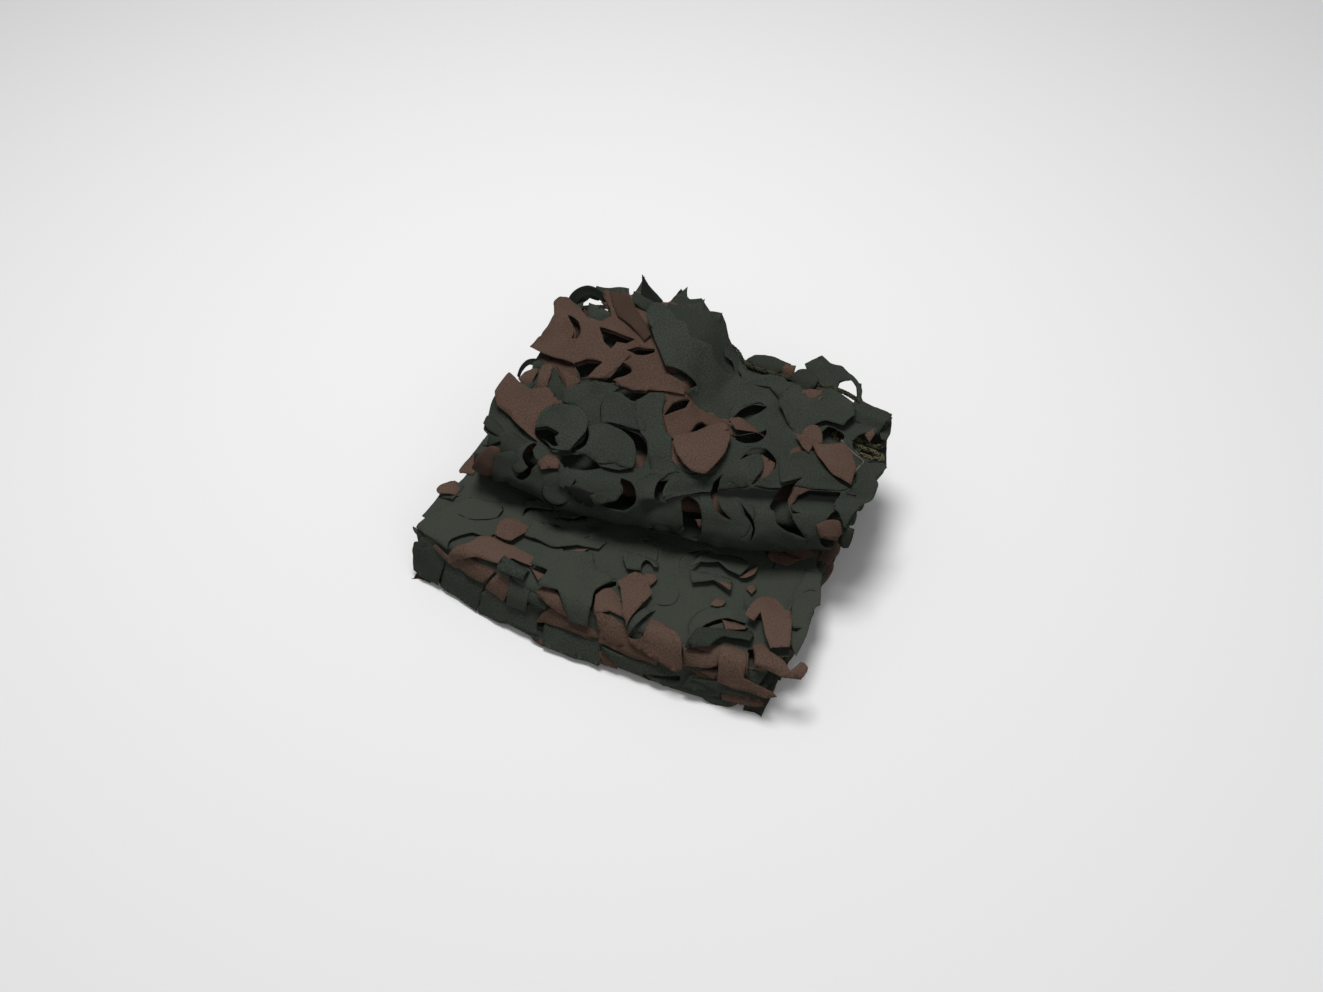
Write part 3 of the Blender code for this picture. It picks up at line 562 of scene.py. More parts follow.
def inside_outline(points, outline):
    """Which points lie inside a closed outline."""
    found = np.zeros(len(points), bool)
    near = near_outline(points, outline, 0.0)
    if not len(near):
        return found
    x, y = points[near, 0], points[near, 1]
    odd = np.zeros(len(near), bool)
    for (x0, y0), (x1, y1) in sides_of(outline):
        if y0 == y1:
            continue
        crosses = (y0 > y) != (y1 > y)
        odd ^= crosses & (x < (x1 - x0) * (y - y0) / (y1 - y0) + x0)
    found[near] = odd
    return found


def distance_to(points, outline, most):
    """How far each point is from a closed outline, up to a most."""
    found = np.full(len(points), float(most))
    near = near_outline(points, outline, most)
    if not len(near):
        return found
    best = np.full(len(near), float(most))
    p = points[near]
    for a, b in sides_of(outline):
        side = b - a
        length = max(float(side @ side), 1e-9)
        t = np.clip(((p - a) @ side) / length, 0.0, 1.0)
        best = np.minimum(best, np.linalg.norm(p - a - t[:, None] * side, axis=1))
    found[near] = best
    return found


def even_steps(outline, step):
    """A closed outline with a point about every step along it."""
    points = []
    for a, b in sides_of(outline):
        count = max(1, round(float(np.linalg.norm(b - a)) / step))
        points += [tuple(a + (b - a) * i / count) for i in range(count)]
    return points


def cut_cloth(grid, rim, cuts):
    """A flat piece of cloth inside its rim, a closed outline, without what lies inside its cuts.

    Its points are those of the grid, the rim and the cuts. The result is its points and its triangles.
    """
    lines = [rim] + cuts
    line_points = np.array([p for line in lines for p in line], float)
    taken = {(int(x // CUT_STEP), int(y // CUT_STEP)) for x, y in line_points}
    keep = np.array([(int(x // CUT_STEP), int(y // CUT_STEP)) not in taken for x, y in grid], bool)
    points = [Vector(p) for p in np.vstack([line_points, grid[keep]])]
    edges, first = [], 0
    for line in lines:
        edges += [(first + i, first + (i + 1) % len(line)) for i in range(len(line))]
        first += len(line)
    flat, _, faces, _, _, _ = geometry.delaunay_2d_cdt(points, edges, [], 0, SAME_PLACE, False)
    flat, faces = np.array([tuple(p) for p in flat]), np.array(faces)
    middles = flat[faces].mean(axis=1)
    kept = inside_outline(middles, rim)
    for cut in cuts:
        kept &= ~inside_outline(middles, cut)
    faces = faces[kept]
    used, place_of = np.unique(faces, return_inverse=True)
    return flat[used], place_of.reshape(faces.shape)


def strip_grid():
    """The points of the whole strip, closer together where it shows."""
    points = []
    for part in STRETCHES:
        name, start, length = part["name"], flat_start(part["name"]), part["length"]
        spacing = FINE_SPACING.get(name, LEVEL_SPACING if name in LEVELS else FOLD_SPACING)
        along = 0.0
        end = length + (END_MARGIN if name == "top" else 0.0)
        row = 0
        while along < end:
            step = spacing if name != "low_5" or along < LOW_5_SEEN else LEVEL_SPACING
            offset = step[0] / 2.0 * (row % 2)
            border = STRIP_WIDTH / 2.0 - GRID_MARGIN
            across = np.arange(-border + offset, border, step[0])
            points.append(np.stack([across, np.full(len(across), start + along)], axis=1))
            along += step[1]
            row += 1
    return np.vstack(points)


# How the cloth's cut edges curl: how far from a cut, by how much where they show and in the pile, and how
# unevenly, with lumps of this size.
CURL_REACH = 14.0
CURL_SEEN, CURL_PILE = 3.4, 1.0
CURL_EVEN, CURL_UNEVEN, CURL_LUMPS = 0.45, 0.55, 60.0
# How crumpled the cloth is: the sizes of its lumps and their heights, and how much of it is left in the pile.
CRUMPLES = ((17.0, 0.35), (46.0, 1.1))
CRUMPLE_PILE = 0.35
# What shows of the top and the roll reaches up to here from its start. It fades in and out over these
# lengths, and counts as seen from this share on.
SEEN_LENGTH, SEEN_FADE_IN, SEEN_FADE_OUT, SEEN_FROM = 400.0, 8.0, 20.0, 0.6
# Creases pressed into the top and the lower pad. Each row holds the stretch, where the crease starts and ends
# (across, and along from the stretch's start), how deep the trough is, below 0 for a ridge, and how wide.
CREASE_COLUMNS = ("stretch", "across", "along", "across_end", "along_end", "depth", "width")
CREASES = (
    ("top", -60, 30, 110, 44, 2.6, 7),
    ("top", 110, 44, 190, 60, 1.8, 8),
    ("top", 14, -4, 30, 18, 5.0, 5),
    ("top", 26, 14, 60, 31, 5.0, 5),
    ("top", 52, 28, 128, 45, 4.5, 6),
    ("top", -150, 40, -100, 100, 2.2, 8),
    ("top", -110, 150, -60, 120, -2.0, 7),
    ("top", -60, 190, -10, 120, -2.4, 9),
    ("top", -20, 150, 40, 90, 2.0, 8),
    ("top", 60, 150, 110, 100, 1.8, 7),
    ("top", 96, 200, 120, 120, -2.0, 8),
    ("top", 120, 96, 188, 120, -1.8, 7),
    ("roll", -180, 50, -40, 42, 2.2, 6),
    ("roll", -20, 56, 150, 58, 1.6, 6),
    ("roll", 20, 30, 170, 20, -1.4, 7),
    ("low_5", -190, 110, -20, 96, 2.2, 9),
    ("low_5", -140, 60, -30, 60, -1.6, 8),
    ("low_5", -10, 100, 120, 110, 2.0, 10),
    ("low_5", 50, 20, 70, 100, -1.5, 9),
    ("low_5", 100, 60, 190, 70, 1.5, 9),
    ("low_5", -110, 10, -60, 90, 1.4, 8),
)
# A crease bows by a share of its length, up to a most, in waves. It fades in from its ends, where it already
# has a share of its depth, and reaches this many times its width to either side.
CREASE_BOW_SHARE, CREASE_BOW, CREASE_WAVES = 0.05, 5.0, 5.0
CREASE_FADE, CREASE_END, CREASE_REACH = 4.0, 0.4, 4.0


def creases(points):
    """How far the listed creases press the cloth in, at points on the flat strip."""
    pressed = np.zeros(len(points))
    for crease in rows_of(CREASES, CREASE_COLUMNS):
        start = flat_start(crease["stretch"])
        a = np.array([crease["across"], start + crease["along"]], float)
        b = np.array([crease["across_end"], start + crease["along_end"]], float)
        side = b - a
        t = ((points - a) @ side) / (side @ side)
        along = np.clip(t, 0.0, 1.0)
        bow = min(CREASE_BOW, CREASE_BOW_SHARE * math.sqrt(side @ side)) * np.sin(along * CREASE_WAVES + a[0])
        normal = np.array([-side[1], side[0]]) / np.linalg.norm(side)
        off = (points - a - along[:, None] * side) @ normal + bow
        reach = np.linalg.norm(points - a - along[:, None] * side, axis=1)
        weight = np.clip(np.minimum(t, 1.0 - t) * CREASE_FADE + CREASE_END, 0.0, 1.0)
        weight *= reach < CREASE_REACH * crease["width"]
        pressed -= crease["depth"] * weight * np.exp(-((off / crease["width"]) ** 2))
    return pressed


def seen_share(along):
    """1 where the strip shows, and less inside the pile."""
    share = np.full(len(along), CRUMPLE_PILE)
    for name in ("top", "roll", "low_5"):
        start = flat_start(name)
        end = start + (LOW_5_SEEN if name == "low_5" else SEEN_LENGTH)
        begun = smooth(along, start - SEEN_FADE_IN, start + SEEN_FADE_IN)
        share = np.maximum(share, begun * smooth(along, end, end - SEEN_FADE_OUT))
    return share


# How much a leaf is cupped, and how its lean to one side differs from one leaf to the next.
LEAF_CUP = 1.6
LEAF_LEAN_TURN = 2.4


def cup_leaves(points, out, leaves):
    """Cup each leaf a little along its chord, one side more than the other, as cut cloth curls."""
    out = out.copy()
    for k, leaf in enumerate(leaves):
        if leaf["steps"] != FINE_STEPS:
            continue
        p, q, on_leaf = on_a_leaf(leaf, points[:, 0], points[:, 1])
        sideways = p[on_leaf] / (leaf["chord"] / 2.0)
        lean = math.sin(LEAF_LEAN_TURN * k)
        out[on_leaf] += q[on_leaf] / leaf["depth"] * (LEAF_CUP * sideways ** 2 + lean * sideways)
    return out


# ------------------------------------------------------------------ the printed patches
# Brown patches printed on the cloth. Each row holds the stretch, the middle (across, and along from the
# stretch's start), half the length and half the width, and how far it is turned.
PATCH_COLUMNS = ("stretch", "across", "along", "long", "wide", "turn")
PATCHES = (
    ("top", -150, 150, 62, 34, 15),
    ("top", -120, 200, 60, 26, 5),
    ("top", -90, 150, 44, 22, -25),
    ("top", -60, 140, 40, 20, -40),
    ("top", -28, 112, 38, 20, -55),
    ("top", 6, 88, 46, 34, -70),
    ("top", -22, 116, 34, 26, -40),
    ("top", 46, 116, 18, 8, -10),
    ("top", -166, 62, 34, 24, 60),
    ("top", 148, 92, 30, 24, 20),
    ("low_5", 150, 150, 34, 14, 4),
    ("front_45", 110, 8, 80, 12, 4),
    ("front_23", 140, 8, 40, 12, 0),
    ("front_23", -10, 8, 30, 9, 0),
)
# Those on the stretches that hardly show are scattered in rows: where the first row is and how far apart they
# are, where their patches are across the strip, how far from there they may lie, and their sizes.
PATCH_START, PATCH_PITCH = 40.0, 105.0
PATCH_PLACES = (-150.0, -50.0, 50.0, 150.0)
PATCH_SHAKE = 40.0
PATCH_LONG, PATCH_WIDE = (28.0, 52.0), (16.0, 30.0)
# None of these lies on what shows of the lower pad, from this far before its upper fold.
PATCHES_KEEP_OFF = 20.0
# How far the patches' outlines wander, in lumps of this size.
PATCH_WANDER, PATCH_WANDER_LUMPS = 6.0, 55.0
# What the field holds where there is no patch, and where a ply is of one print all over.
NO_PATCH, ALL_PATCH = -40.0, 14.0


def brown_field(points):
    """How far inside a brown patch each point of the flat strip is, in millimetres, below 0 outside."""
    seeds = (SEEDS["wander_across"], SEEDS["wander_along"])
    wander = np.stack([smooth_noise(points, PATCH_WANDER_LUMPS, seed) for seed in seeds], axis=1)
    moved = points + wander * PATCH_WANDER
    field = np.full(len(points), NO_PATCH)

    def add(across, along, long, wide, turn):
        """Put one patch into the field."""
        c, s = math.cos(math.radians(turn)), math.sin(math.radians(turn))
        dx, dy = moved[:, 0] - across, moved[:, 1] - along
        u, v = (dx * c + dy * s) / long, (-dx * s + dy * c) / wide
        np.maximum(field, (1.0 - np.hypot(u, v)) * min(long, wide), out=field)

    for patch in rows_of(PATCHES, PATCH_COLUMNS):
        along = flat_start(patch["stretch"]) + patch["along"]
        add(patch["across"], along, patch["long"], patch["wide"], patch["turn"])
    chance = random.Random(SEEDS["patches"])
    along = PATCH_START
    low, high = flat_start("front_45") - PATCHES_KEEP_OFF, flat_start("low_5") + LOW_5_SEEN
    while along < flat_start("roll") - PATCH_START:
        for across in PATCH_PLACES:
            row = (
                across + shake(chance, PATCH_SHAKE), along + shake(chance, PATCH_SHAKE),
                chance.uniform(*PATCH_LONG), chance.uniform(*PATCH_WIDE), chance.uniform(0.0, 180.0),
            )
            if not low < row[1] < high:
                add(*row)
        along += PATCH_PITCH
    return field


# How much the leaves' own shades differ from one to the next, and how far past its outline each one reaches.
LEAF_SHADE, LEAF_SHADE_TURN = 0.16, 1.7
LEAF_SHADE_BEHIND, LEAF_SHADE_EDGE = 0.5, 1.08


def shade_leaves(points, leaves, shade):
    """Give each leaf a shade of its own."""
    for k, leaf in enumerate(leaves):
        _, _, on_leaf = on_a_leaf(leaf, points[:, 0], points[:, 1], LEAF_SHADE_BEHIND, LEAF_SHADE_EDGE)
        shade[on_leaf] += LEAF_SHADE * math.sin(LEAF_SHADE_TURN * k)


# ------------------------------------------------------------------ the net's other plies
# The strip stands for several plies that lie on each other. Where an upper ply's leafy edge shows, it is a
# piece of its own. Each row holds its name, the stretch it lies on, its middle (across, and along from the
# stretch's start), its print (1 brown, -1 green), how high it lies, how much its edge curls, which way it
# runs in under the cloth, in degrees on the flat strip, or None, and its corners. A corner is across and
# along from the middle and, where the line to the next one isn't straight, how far that bows out, below 0
# where it bows in.
PLY_COLUMNS = ("name", "stretch", "across", "along", "print", "above", "curl", "root", "corners")
PLIES = (
    # linings under the raised back, seen dark through the cuts
    ("lining_left", "top", -96, 146, -1, -13.0, 0.5, None, (
        (-84, -46), (84, -46), (84, 40), (30, 46), (-30, 40), (-84, 30),
    )),
    ("lining_right", "top", 100, 140, -1, -13.0, 0.5, None, (
        (-84, -50), (84, -50), (84, 40), (0, 46), (-84, 46),
    )),
    # the upper pad's back
    ("back_green", "top", -27, 201, -1, 3.0, 1.6, -90, (
        (-57, 9), (-57, 21), (-55, 45), (-39, 35), (-27, 43), (-9, 29), (1, 37), (9, 31), (17, 21, -1),
        (31, 17), (43, 17), (53, 1), (57, -17), (31, -27), (-11, -45), (-45, -17),
    )),
    ("front_green", "top", -2, 161, -1, 11.0, 3.6, -60, (
        (-94, 27), (-94, 41, 1), (-78, 43), (-70, 43), (-58, 31, 1), (-44, 31), (-34, 19, 1), (-20, 25),
        (-8, 17), (8, 19), (18, 25), (34, 19), (40, 31), (56, 39), (72, 43), (86, 33), (94, 5), (84, -3),
        (60, 1), (42, -15, -1), (40, -43), (2, -35), (-18, -31), (-12, -17), (-28, -15, -1), (-46, -17),
        (-70, 3),
    )),
    ("fold_green", "top", 8, 198, -1, 6.4, 2.4, -90, (
        (-18, 8), (-4, 16), (10, 10), (18, -6), (18, -16), (-6, 2), (-14, 0),
    )),
    ("rear_brown", "top", -118, 166, 1, 6.0, 2.4, None, (
        (-92, -44), (-90, -32, 1), (-86, -26), (-88, 10), (-96, 24, 2), (-98, 36, 2), (-92, 40, 1),
        (-82, 40), (-64, 30), (-44, 14), (-24, 8), (-16, 16), (-22, 26), (-46, 54), (-46, 62), (-16, 52),
        (-2, 38), (28, 12), (48, -4), (72, -24), (96, -30), (98, -40), (78, -44), (62, -48), (54, -60, -1),
        (46, -62), (36, -56), (24, -52), (14, -52), (-6, -58), (-16, -62), (-22, -52), (-32, -48),
        (-50, -48), (-70, -48),
    )),
    ("rear_fold", "top", -118, 193, 1, 7.4, 2.0, None, (
        (-38, 31), (-16, 23, 1), (6, 3), (38, -23), (34, -31), (10, -19), (-8, -11), (-22, 5),
    )),
    ("hole_flap", "top", -154, 190, -1, 4.4, 1.2, -90, (
        (-14, -2), (-20, 16), (14, 0), (20, -8), (12, -16), (-10, -8),
    )),
    ("brown_lip", "top", -166, 104, 1, 2.6, 2.0, -60, (
        (-32, 16), (-8, 16), (18, 14), (32, 0), (30, -8), (24, -16), (-2, 4), (-18, 6),
    )),
    ("brown_hollow", "top", -115, 150, 1, 1.0, 1.2, None, (
        (-19, 8), (-3, 8), (19, 8), (19, -4), (1, -8),
    )),
    ("low_leaf", "top", -108, 126, 1, 7.4, 1.4, None, (
        (-18, -18, 1), (-14, -6, 1), (2, 6), (18, 18), (10, 2), (6, -10, 1),
    )),
    ("gap_leaf", "top", -42, 138, -1, 2.0, 1.6, -60, (
        (-20, 0), (-4, 4), (16, 10), (20, 2), (4, -10), (-12, -8),
    )),
    ("back_leaf", "top", -106, 212, -1, 5.0, 1.6, -60, (
        (-22, 12), (-6, 4), (22, -2), (12, -12), (0, -10), (-16, -6),
    )),
    ("brown_under_ring", "top", -194, 86, 1, 3.4, 2.0, -60, (
        (-8, -8), (-6, 4, 1), (4, 14), (8, 12), (8, -8), (6, -14),
    )),
    ("brown_upright_a", "top", -175, 90, 1, 5.0, 3.0, -80, (
        (-1, -20), (-7, 0, 1), (-9, 16), (1, 20), (5, 16), (9, -12),
    )),
    ("dark_upright_b", "top", -155, 88, -1, 3.4, 3.0, -80, (
        (-9, -12), (-15, 18), (-9, 18), (7, -2), (15, 2), (13, -18), (-1, -10),
    )),
    ("brown_side", "top", -152, 100, 1, 2.4, 1.6, -80, (
        (-18, 12), (12, 6), (18, 4), (14, -6), (10, -12), (-8, 6),
    )),
    ("left_star", "top", -177, 48, 1, 7.4, 2.6, None, (
        (-35, -4, 1), (-37, 2, 1), (-35, 28), (-23, 24, -1), (-13, 24, -1), (-1, 20), (11, 30), (15, 32),
        (37, 18, -2), (25, 4, -2), (25, -14), (33, -32), (19, -28), (-7, -16), (-27, -12),
    )),
    ("green_arch", "top", -116, 86, -1, 5.0, 2.2, -90, (
        (-26, -12, 1), (-28, 4, 1), (-12, 18, 1), (14, 28, 1), (28, 24), (18, 12, -1), (18, -2, -1),
        (28, -18), (18, -28), (10, -18), (-6, -10),
    )),
    ("left_disc", "top", -126, 45, -1, 8.4, 2.0, None, (
        (-24, -15, 1), (-28, 1, 2), (-20, 15, 2), (-6, 27, 1), (6, 31), (22, 21, 1), (28, 5, 1),
        (24, -15, 1), (20, -19), (2, -31), (-14, -23),
    )),
    ("second_leaf", "top", -67, 86, -1, 6.2, 2.0, None, (
        (-21, -18), (-29, -4, 1), (-31, 12, 1), (-23, 18, 1), (-11, 18, 1), (11, 4), (25, -2), (31, -14),
        (7, -14),
    )),
    ("green_column", "top", -19, 69, -1, 6.8, 2.2, -90, (
        (-39, 21), (-45, 35), (-35, 47), (-19, 51), (-15, 47, -1), (-11, 29), (-3, 15, -1), (13, 1),
        (27, -27), (45, -43), (15, -51), (-7, -15, 1),
    )),
    ("lens_leaf", "top", -65, 47, -1, 4.4, 2.0, None, (
        (-35, 13), (-23, 23), (-1, 21, 1), (21, 11, 1), (33, -7, 1), (35, -19, 1), (15, -17), (-5, -23),
        (-33, -17), (-25, -7),
    )),
    ("light_flap", "roll", -48, 96, -1, 4.4, 1.6, None, (
        (-20, -2), (-14, 6), (4, 4), (20, 4), (6, -4), (-12, -6),
    )),
    ("mid_brown", "top", 8, 100, 1, 2.6, 1.6, None, (
        (-50, 22), (-28, 30), (-8, 26), (30, 18), (50, -6), (30, -2), (14, 2), (2, -20), (-16, -30),
        (-36, -4),
    )),
    ("big_disc", "top", 26, 72, 1, 9.0, 2.0, None, (
        (-30, -2), (-22, 4), (-8, 14), (-2, 30, 1), (12, 36), (20, 28), (28, 16), (30, 2, 1), (30, -16, 1),
        (24, -32, 1), (18, -36), (8, -36), (-4, -32), (-16, -24), (-24, -14),
    )),
    ("brown_chip", "top", 64, 113, 1, 8.0, 1.4, 60, (
        (-24, 3), (-10, 11, 1), (4, 11), (14, 7), (24, -3), (-10, -11),
    )),
    ("crescent_brown", "top", 100, 64, 1, -3.0, 1.0, None, (
        (-10, 22), (8, 16, 1), (10, -6), (-4, -22), (-2, -2),
    )),
    ("crescent_lining", "top", -175, 171, 1, -5.0, 0.5, None, (
        (-33, 31), (-5, 37), (33, -27), (5, -37),
    )),
    # the right rear corner
    ("rear_back_green", "top", 42, 222, -1, 5.0, 2.0, -90, (
        (-26, -4), (-18, 6), (-8, 12, 1), (12, 10), (26, 8), (18, -6), (6, -12), (-8, -8),
    )),
    ("rear_mid_brown", "top", 68, 222, 1, 7.4, 1.4, -90, (
        (-8, -6), (-6, 6), (6, 8), (8, -2), (6, -8),
    )),
    ("rear_cover", "top", 51, 184, -1, 8.4, 1.8, -90, (
        (-43, 20), (-25, 14), (-7, 12), (17, 14), (31, 16), (43, 8), (39, -20), (9, 0), (-19, -4),
    )),
    ("dark_lobe", "top", 91, 214, -1, 9.0, 2.0, -90, (
        (-15, -6, 1), (-11, 8, 1), (1, 16, 1), (15, 6, 1), (15, -6), (3, -16),
    )),
    ("chip_a", "top", 111, 180, 1, 9.6, 1.4, -90, (
        (-13, 6), (-5, 14), (7, 18), (13, 6), (7, -18), (-3, -12),
    )),
    ("rear_right_green", "top", 122, 164, -1, 10.4, 2.2, -90, (
        (-42, -4), (-38, 30), (-28, 30), (-10, 8), (-2, 26), (2, 44), (16, 42), (34, 36), (42, 14),
        (36, -10), (16, -10, -1), (4, -26, -1), (-2, -44), (-24, -24),
    )),
    ("right_tip", "top", 121, 227, -1, 6.4, 2.4, -90, (
        (-39, 9), (-35, 21), (-27, 33), (-15, 29, -1), (-1, 33), (15, 31, 1), (33, 13, 1), (39, -9),
        (39, -33), (19, -27), (1, -25), (-15, -17),
    )),
    ("right_corner", "top", 180, 192, -1, 8.6, 2.0, -90, (
        (-20, 2), (-16, 16), (2, 18), (20, 18), (20, 8), (14, -18), (0, -18), (-14, -14),
    )),
    ("corner_floor", "top", 192, 164, -1, -19.6, 0.4, None, (
        (-24, 0), (-4, 28), (4, 64), (16, 14), (24, -22), (24, -40), (20, -64), (0, -64), (-14, -40),
    )),
    ("corner_edge", "top", 199, 201, -1, -3.0, 1.0, None, (
        (-7, -15), (-5, 13), (-3, 33), (3, 11), (7, -13), (7, -31), (1, -33),
    )),
    ("corner_low", "top", 204, 87, -1, 2.0, 1.6, None, (
        (-16, 11), (-4, 17), (10, 27), (16, 19), (10, -9), (16, -27), (4, -23), (-8, -21),
    )),
    ("corner_brown_b", "top", 187, 166, 1, 1.0, 1.2, -90, (
        (-5, -4), (1, 12), (5, 2), (3, -12),
    )),
    ("right_low_green", "top", 151, 75, -1, 4.6, 2.0, None, (
        (-41, 7), (-23, 21), (-13, 29), (5, 9, 1), (21, -9), (41, -23), (35, -27), (7, -29), (-27, -27),
    )),
    ("right_brown_leaf", "top", 165, 89, 1, 9.0, 2.4, None, (
        (-29, 23), (-17, 23), (3, 35), (17, 17), (27, -7), (29, -35), (7, -23, 1), (-13, -1, 1),
    )),
    ("right_arch_leaf", "top", 130, 118, 1, 6.0, 1.8, None, (
        (-16, 0), (-8, 0), (-8, 10), (-4, 18, 1), (4, 22), (12, 12), (16, 0), (8, -10), (8, -22), (0, -16),
    )),
    # the left edge of the upper pad
    ("left_edge_a", "top", -185, 25, -1, 3.0, 2.0, 0, (
        (-29, 7, 1), (-29, 25), (-13, 11), (13, 3), (29, -7), (17, -13), (5, -25), (-9, -17), (-25, -9),
    )),
    ("left_edge_c", "top", -189, 8, -1, 5.0, 2.6, 0, (
        (-21, 8), (-9, 6), (7, 2), (19, 4), (21, -4), (9, -8), (-7, -8), (-17, -4),
    )),
    ("left_edge_b", "roll", -177, 69, -1, 3.4, 2.0, 0, (
        (-33, 13), (-17, 9), (-3, 1), (5, 13), (23, 17), (33, -13), (9, -17), (-1, -3), (-13, -13),
        (-17, -3), (-25, -1),
    )),
    ("lobe_brown", "roll", -180, 43, 1, 4.6, 1.5, 0, (
        (-16, -7, 2), (-10, 9, 2), (2, 17, 1), (14, 15), (18, -1, 1), (4, -17, 2), (-8, -17, 3),
        (-18, -17, 1),
    )),
    ("lobe_green", "roll", -160, 44, -1, 4.0, 2.5, 0, (
        (-18, 8, 1), (2, 20), (18, 12), (16, -6, -1), (-8, -20, -2),
    )),
    ("brown_bits", "roll", -114, 71, 1, 4.0, 2.0, None, (
        (-12, -7), (-6, 11), (8, 5), (12, -3), (-4, -11),
    )),
    # the roll
    ("roll_lip", "top", 106, 31, -1, 3.4, 1.6, 90, (
        (-88, -41), (-72, -29), (-42, -3), (-8, 11), (26, 13), (50, 13), (76, 15), (96, 13), (88, 41),
        (18, 37), (-24, 27), (-52, 11), (-88, -3), (-96, -25),
    )),
    ("roll_leaf_a", "roll", -38, 55, -1, 4.4, 2.6, None, (
        (-16, -1), (-8, 3), (12, 7, 1), (16, 1), (12, -5), (-8, -7),
    )),
    ("roll_leaf_b", "roll", -89, 64, -1, 3.4, 2.0, None, (
        (-11, 2), (-5, 10), (11, 2), (11, -10), (-3, -10),
    )),
    # a dark sheet over a gap at the roll's left end, which paints the shadow in the gap
    ("roll_hollow", "roll", -67, 51, -1, 5.2, 0.2, None, (
        (-19, 5), (-1, 7), (19, 5), (19, -7), (3, -5),
    )),
    ("roll_leaf_c", "roll", -66, 58, -1, 2.6, 2.0, None, (
        (-14, -2), (-6, 6), (14, 0), (10, -6), (-6, -6),
    )),
    ("roll_brown_in", "roll", 65, 48, 1, -3.5, 1.0, None, (
        (-5, 4), (1, 6), (5, -2), (3, -6),
    )),
    ("roll_brown_rim", "roll", 149, 90, 1, 3.0, 1.2, None, (
        (-11, 12), (-7, 34, 1), (3, 36), (9, 26), (-3, 16), (-3, -8, -1), (11, -36), (1, -26, 1),
    )),
    ("right_lobe", "roll", 203, 97, -1, 4.4, 2.4, None, (
        (-9, 25), (-3, 41), (13, 43, 1), (17, 33), (17, 9), (9, -25), (3, -43), (-15, -19), (-17, 19),
    )),
    ("low_lobe", "roll", 192, 53, 1, 3.0, 2.4, None, (
        (-14, 5), (-6, 9, 1), (8, 7), (14, -3), (10, -9), (-6, -7),
    )),
    ("right_tip_low", "roll", 210, 45, -1, 3.6, 2.4, 180, (
        (-6, 9, 1), (6, 9, 1), (6, -9, 1), (-4, -7),
    )),
    # the lower pad's top
    ("left_point", "low_5", -150, 35, -1, 3.4, 2.0, 60, (
        (-46, -38), (-8, -43, -3), (10, -17), (26, -13), (32, 1), (46, 35), (20, 43), (-20, 23),
        (-34, 3, 2),
    )),
    ("pink_disc", "low_5", -106, 48, 1, 6.0, 1.2, 80, (
        (-12, -20, 1), (-16, -2, 2), (-4, 14, 2), (8, 20, 2), (16, 12, 1), (14, 0), (8, -18, 1),
    )),
    ("green_edge", "low_5", -52, 65, -1, 3.6, 1.6, 90, (
        (-40, -19), (-16, -21), (-6, -21, 1), (16, -9), (36, -3), (40, 15), (0, 21), (-40, 1),
    )),
    ("small_brown_a", "low_5", -33, 53, 1, 4.0, 1.6, 110, (
        (-7, -5), (7, 9, 1), (7, -1), (3, -9),
    )),
    ("brown_pad", "low_5", -112, 14, 1, 6.8, 1.4, 80, (
        (-48, -26), (-24, -14, -1), (-18, 0), (-10, 10), (4, 16), (16, 16), (26, 26, -1), (48, 24),
        (46, 14), (48, -2), (28, -4), (20, -16), (-6, -18), (-24, -22),
    )),
    ("brown_strip_a", "low_5", -140, -14, 1, 4.6, 1.4, 80, (
        (-40, 2, 1), (-32, 6), (-18, 2), (6, 7), (24, 10), (38, 9, 1), (40, 7), (30, -5, 1), (22, -9),
        (-4, -6), (-10, -8), (-22, -4),
    )),
    ("tab_a", "low_5", -78, 3, -1, 8.8, 0.1, 80, (
        (-14, 8), (14, 8), (15, -7), (-15, -8),
    )),
    ("brown_strip_b", "low_5", -93, -20, 1, 6.0, 1.2, 80, (
        (-3, 13), (13, 13), (17, 11), (9, -4), (5, -12), (-17, -6), (-9, 7),
    )),
    ("tab_b", "low_5", -71, -18, -1, 7.6, 0.2, 80, (
        (-10, 13), (12, 14), (11, -13), (-12, -15),
    )),
    ("dark_slip", "low_5", -49, -14, -1, 4.2, 1.4, 80, (
        (-9, 7), (-5, 5), (11, -1), (9, -6), (-11, -7),
    )),
    ("left_leaf", "low_5", -185, -28, -1, 5.8, 1.6, 70, (
        (-21, 0, 2), (-11, 17, 2), (3, 22, 1), (11, 22), (11, 16), (21, 10), (15, -23), (-19, -21),
    )),
    ("panel_a", "low_5", -138, -38, -1, 4.2, 1.4, 80, (
        (-24, 19), (-6, 18), (20, 14), (30, 16), (24, 8), (22, -19), (-30, -14),
    )),
    ("panel_b", "low_5", -76, -39, -1, 3.8, 1.4, 80, (
        (-32, 13), (-8, 7), (12, 7), (16, 18), (38, 20), (34, 9), (28, 1), (36, -13), (-38, -20), (-38, 6),
    )),
    ("corner_brown", "low_5", -56, 6, 1, 4.0, 1.4, 80, (
        (-10, 6), (4, 6), (10, 8), (8, -2), (6, -7),
    )),
    ("star_green", "low_5", -24, 16, -1, 7.8, 2.0, None, (
        (-40, -6), (-40, 20, -1), (-14, 28), (8, 36, -2), (20, 18), (40, 18), (28, -4, -1), (32, -19, -1),
        (32, -33), (12, -36, -3), (-4, -18), (-24, -20, -1), (-22, -4, -1),
    )),
    ("star_brown", "low_5", -31, -7, 1, 5.4, 1.4, 80, (
        (-19, 0), (-1, 11), (19, -11), (7, -9), (-9, -3),
    )),
    ("disc_left", "low_5", 25, 12, 1, 4.2, 1.6, 60, (
        (-17, -15, 3), (-19, 6, 3), (-9, 20), (1, 10), (19, -15), (1, -14), (-13, -20, 1),
    )),
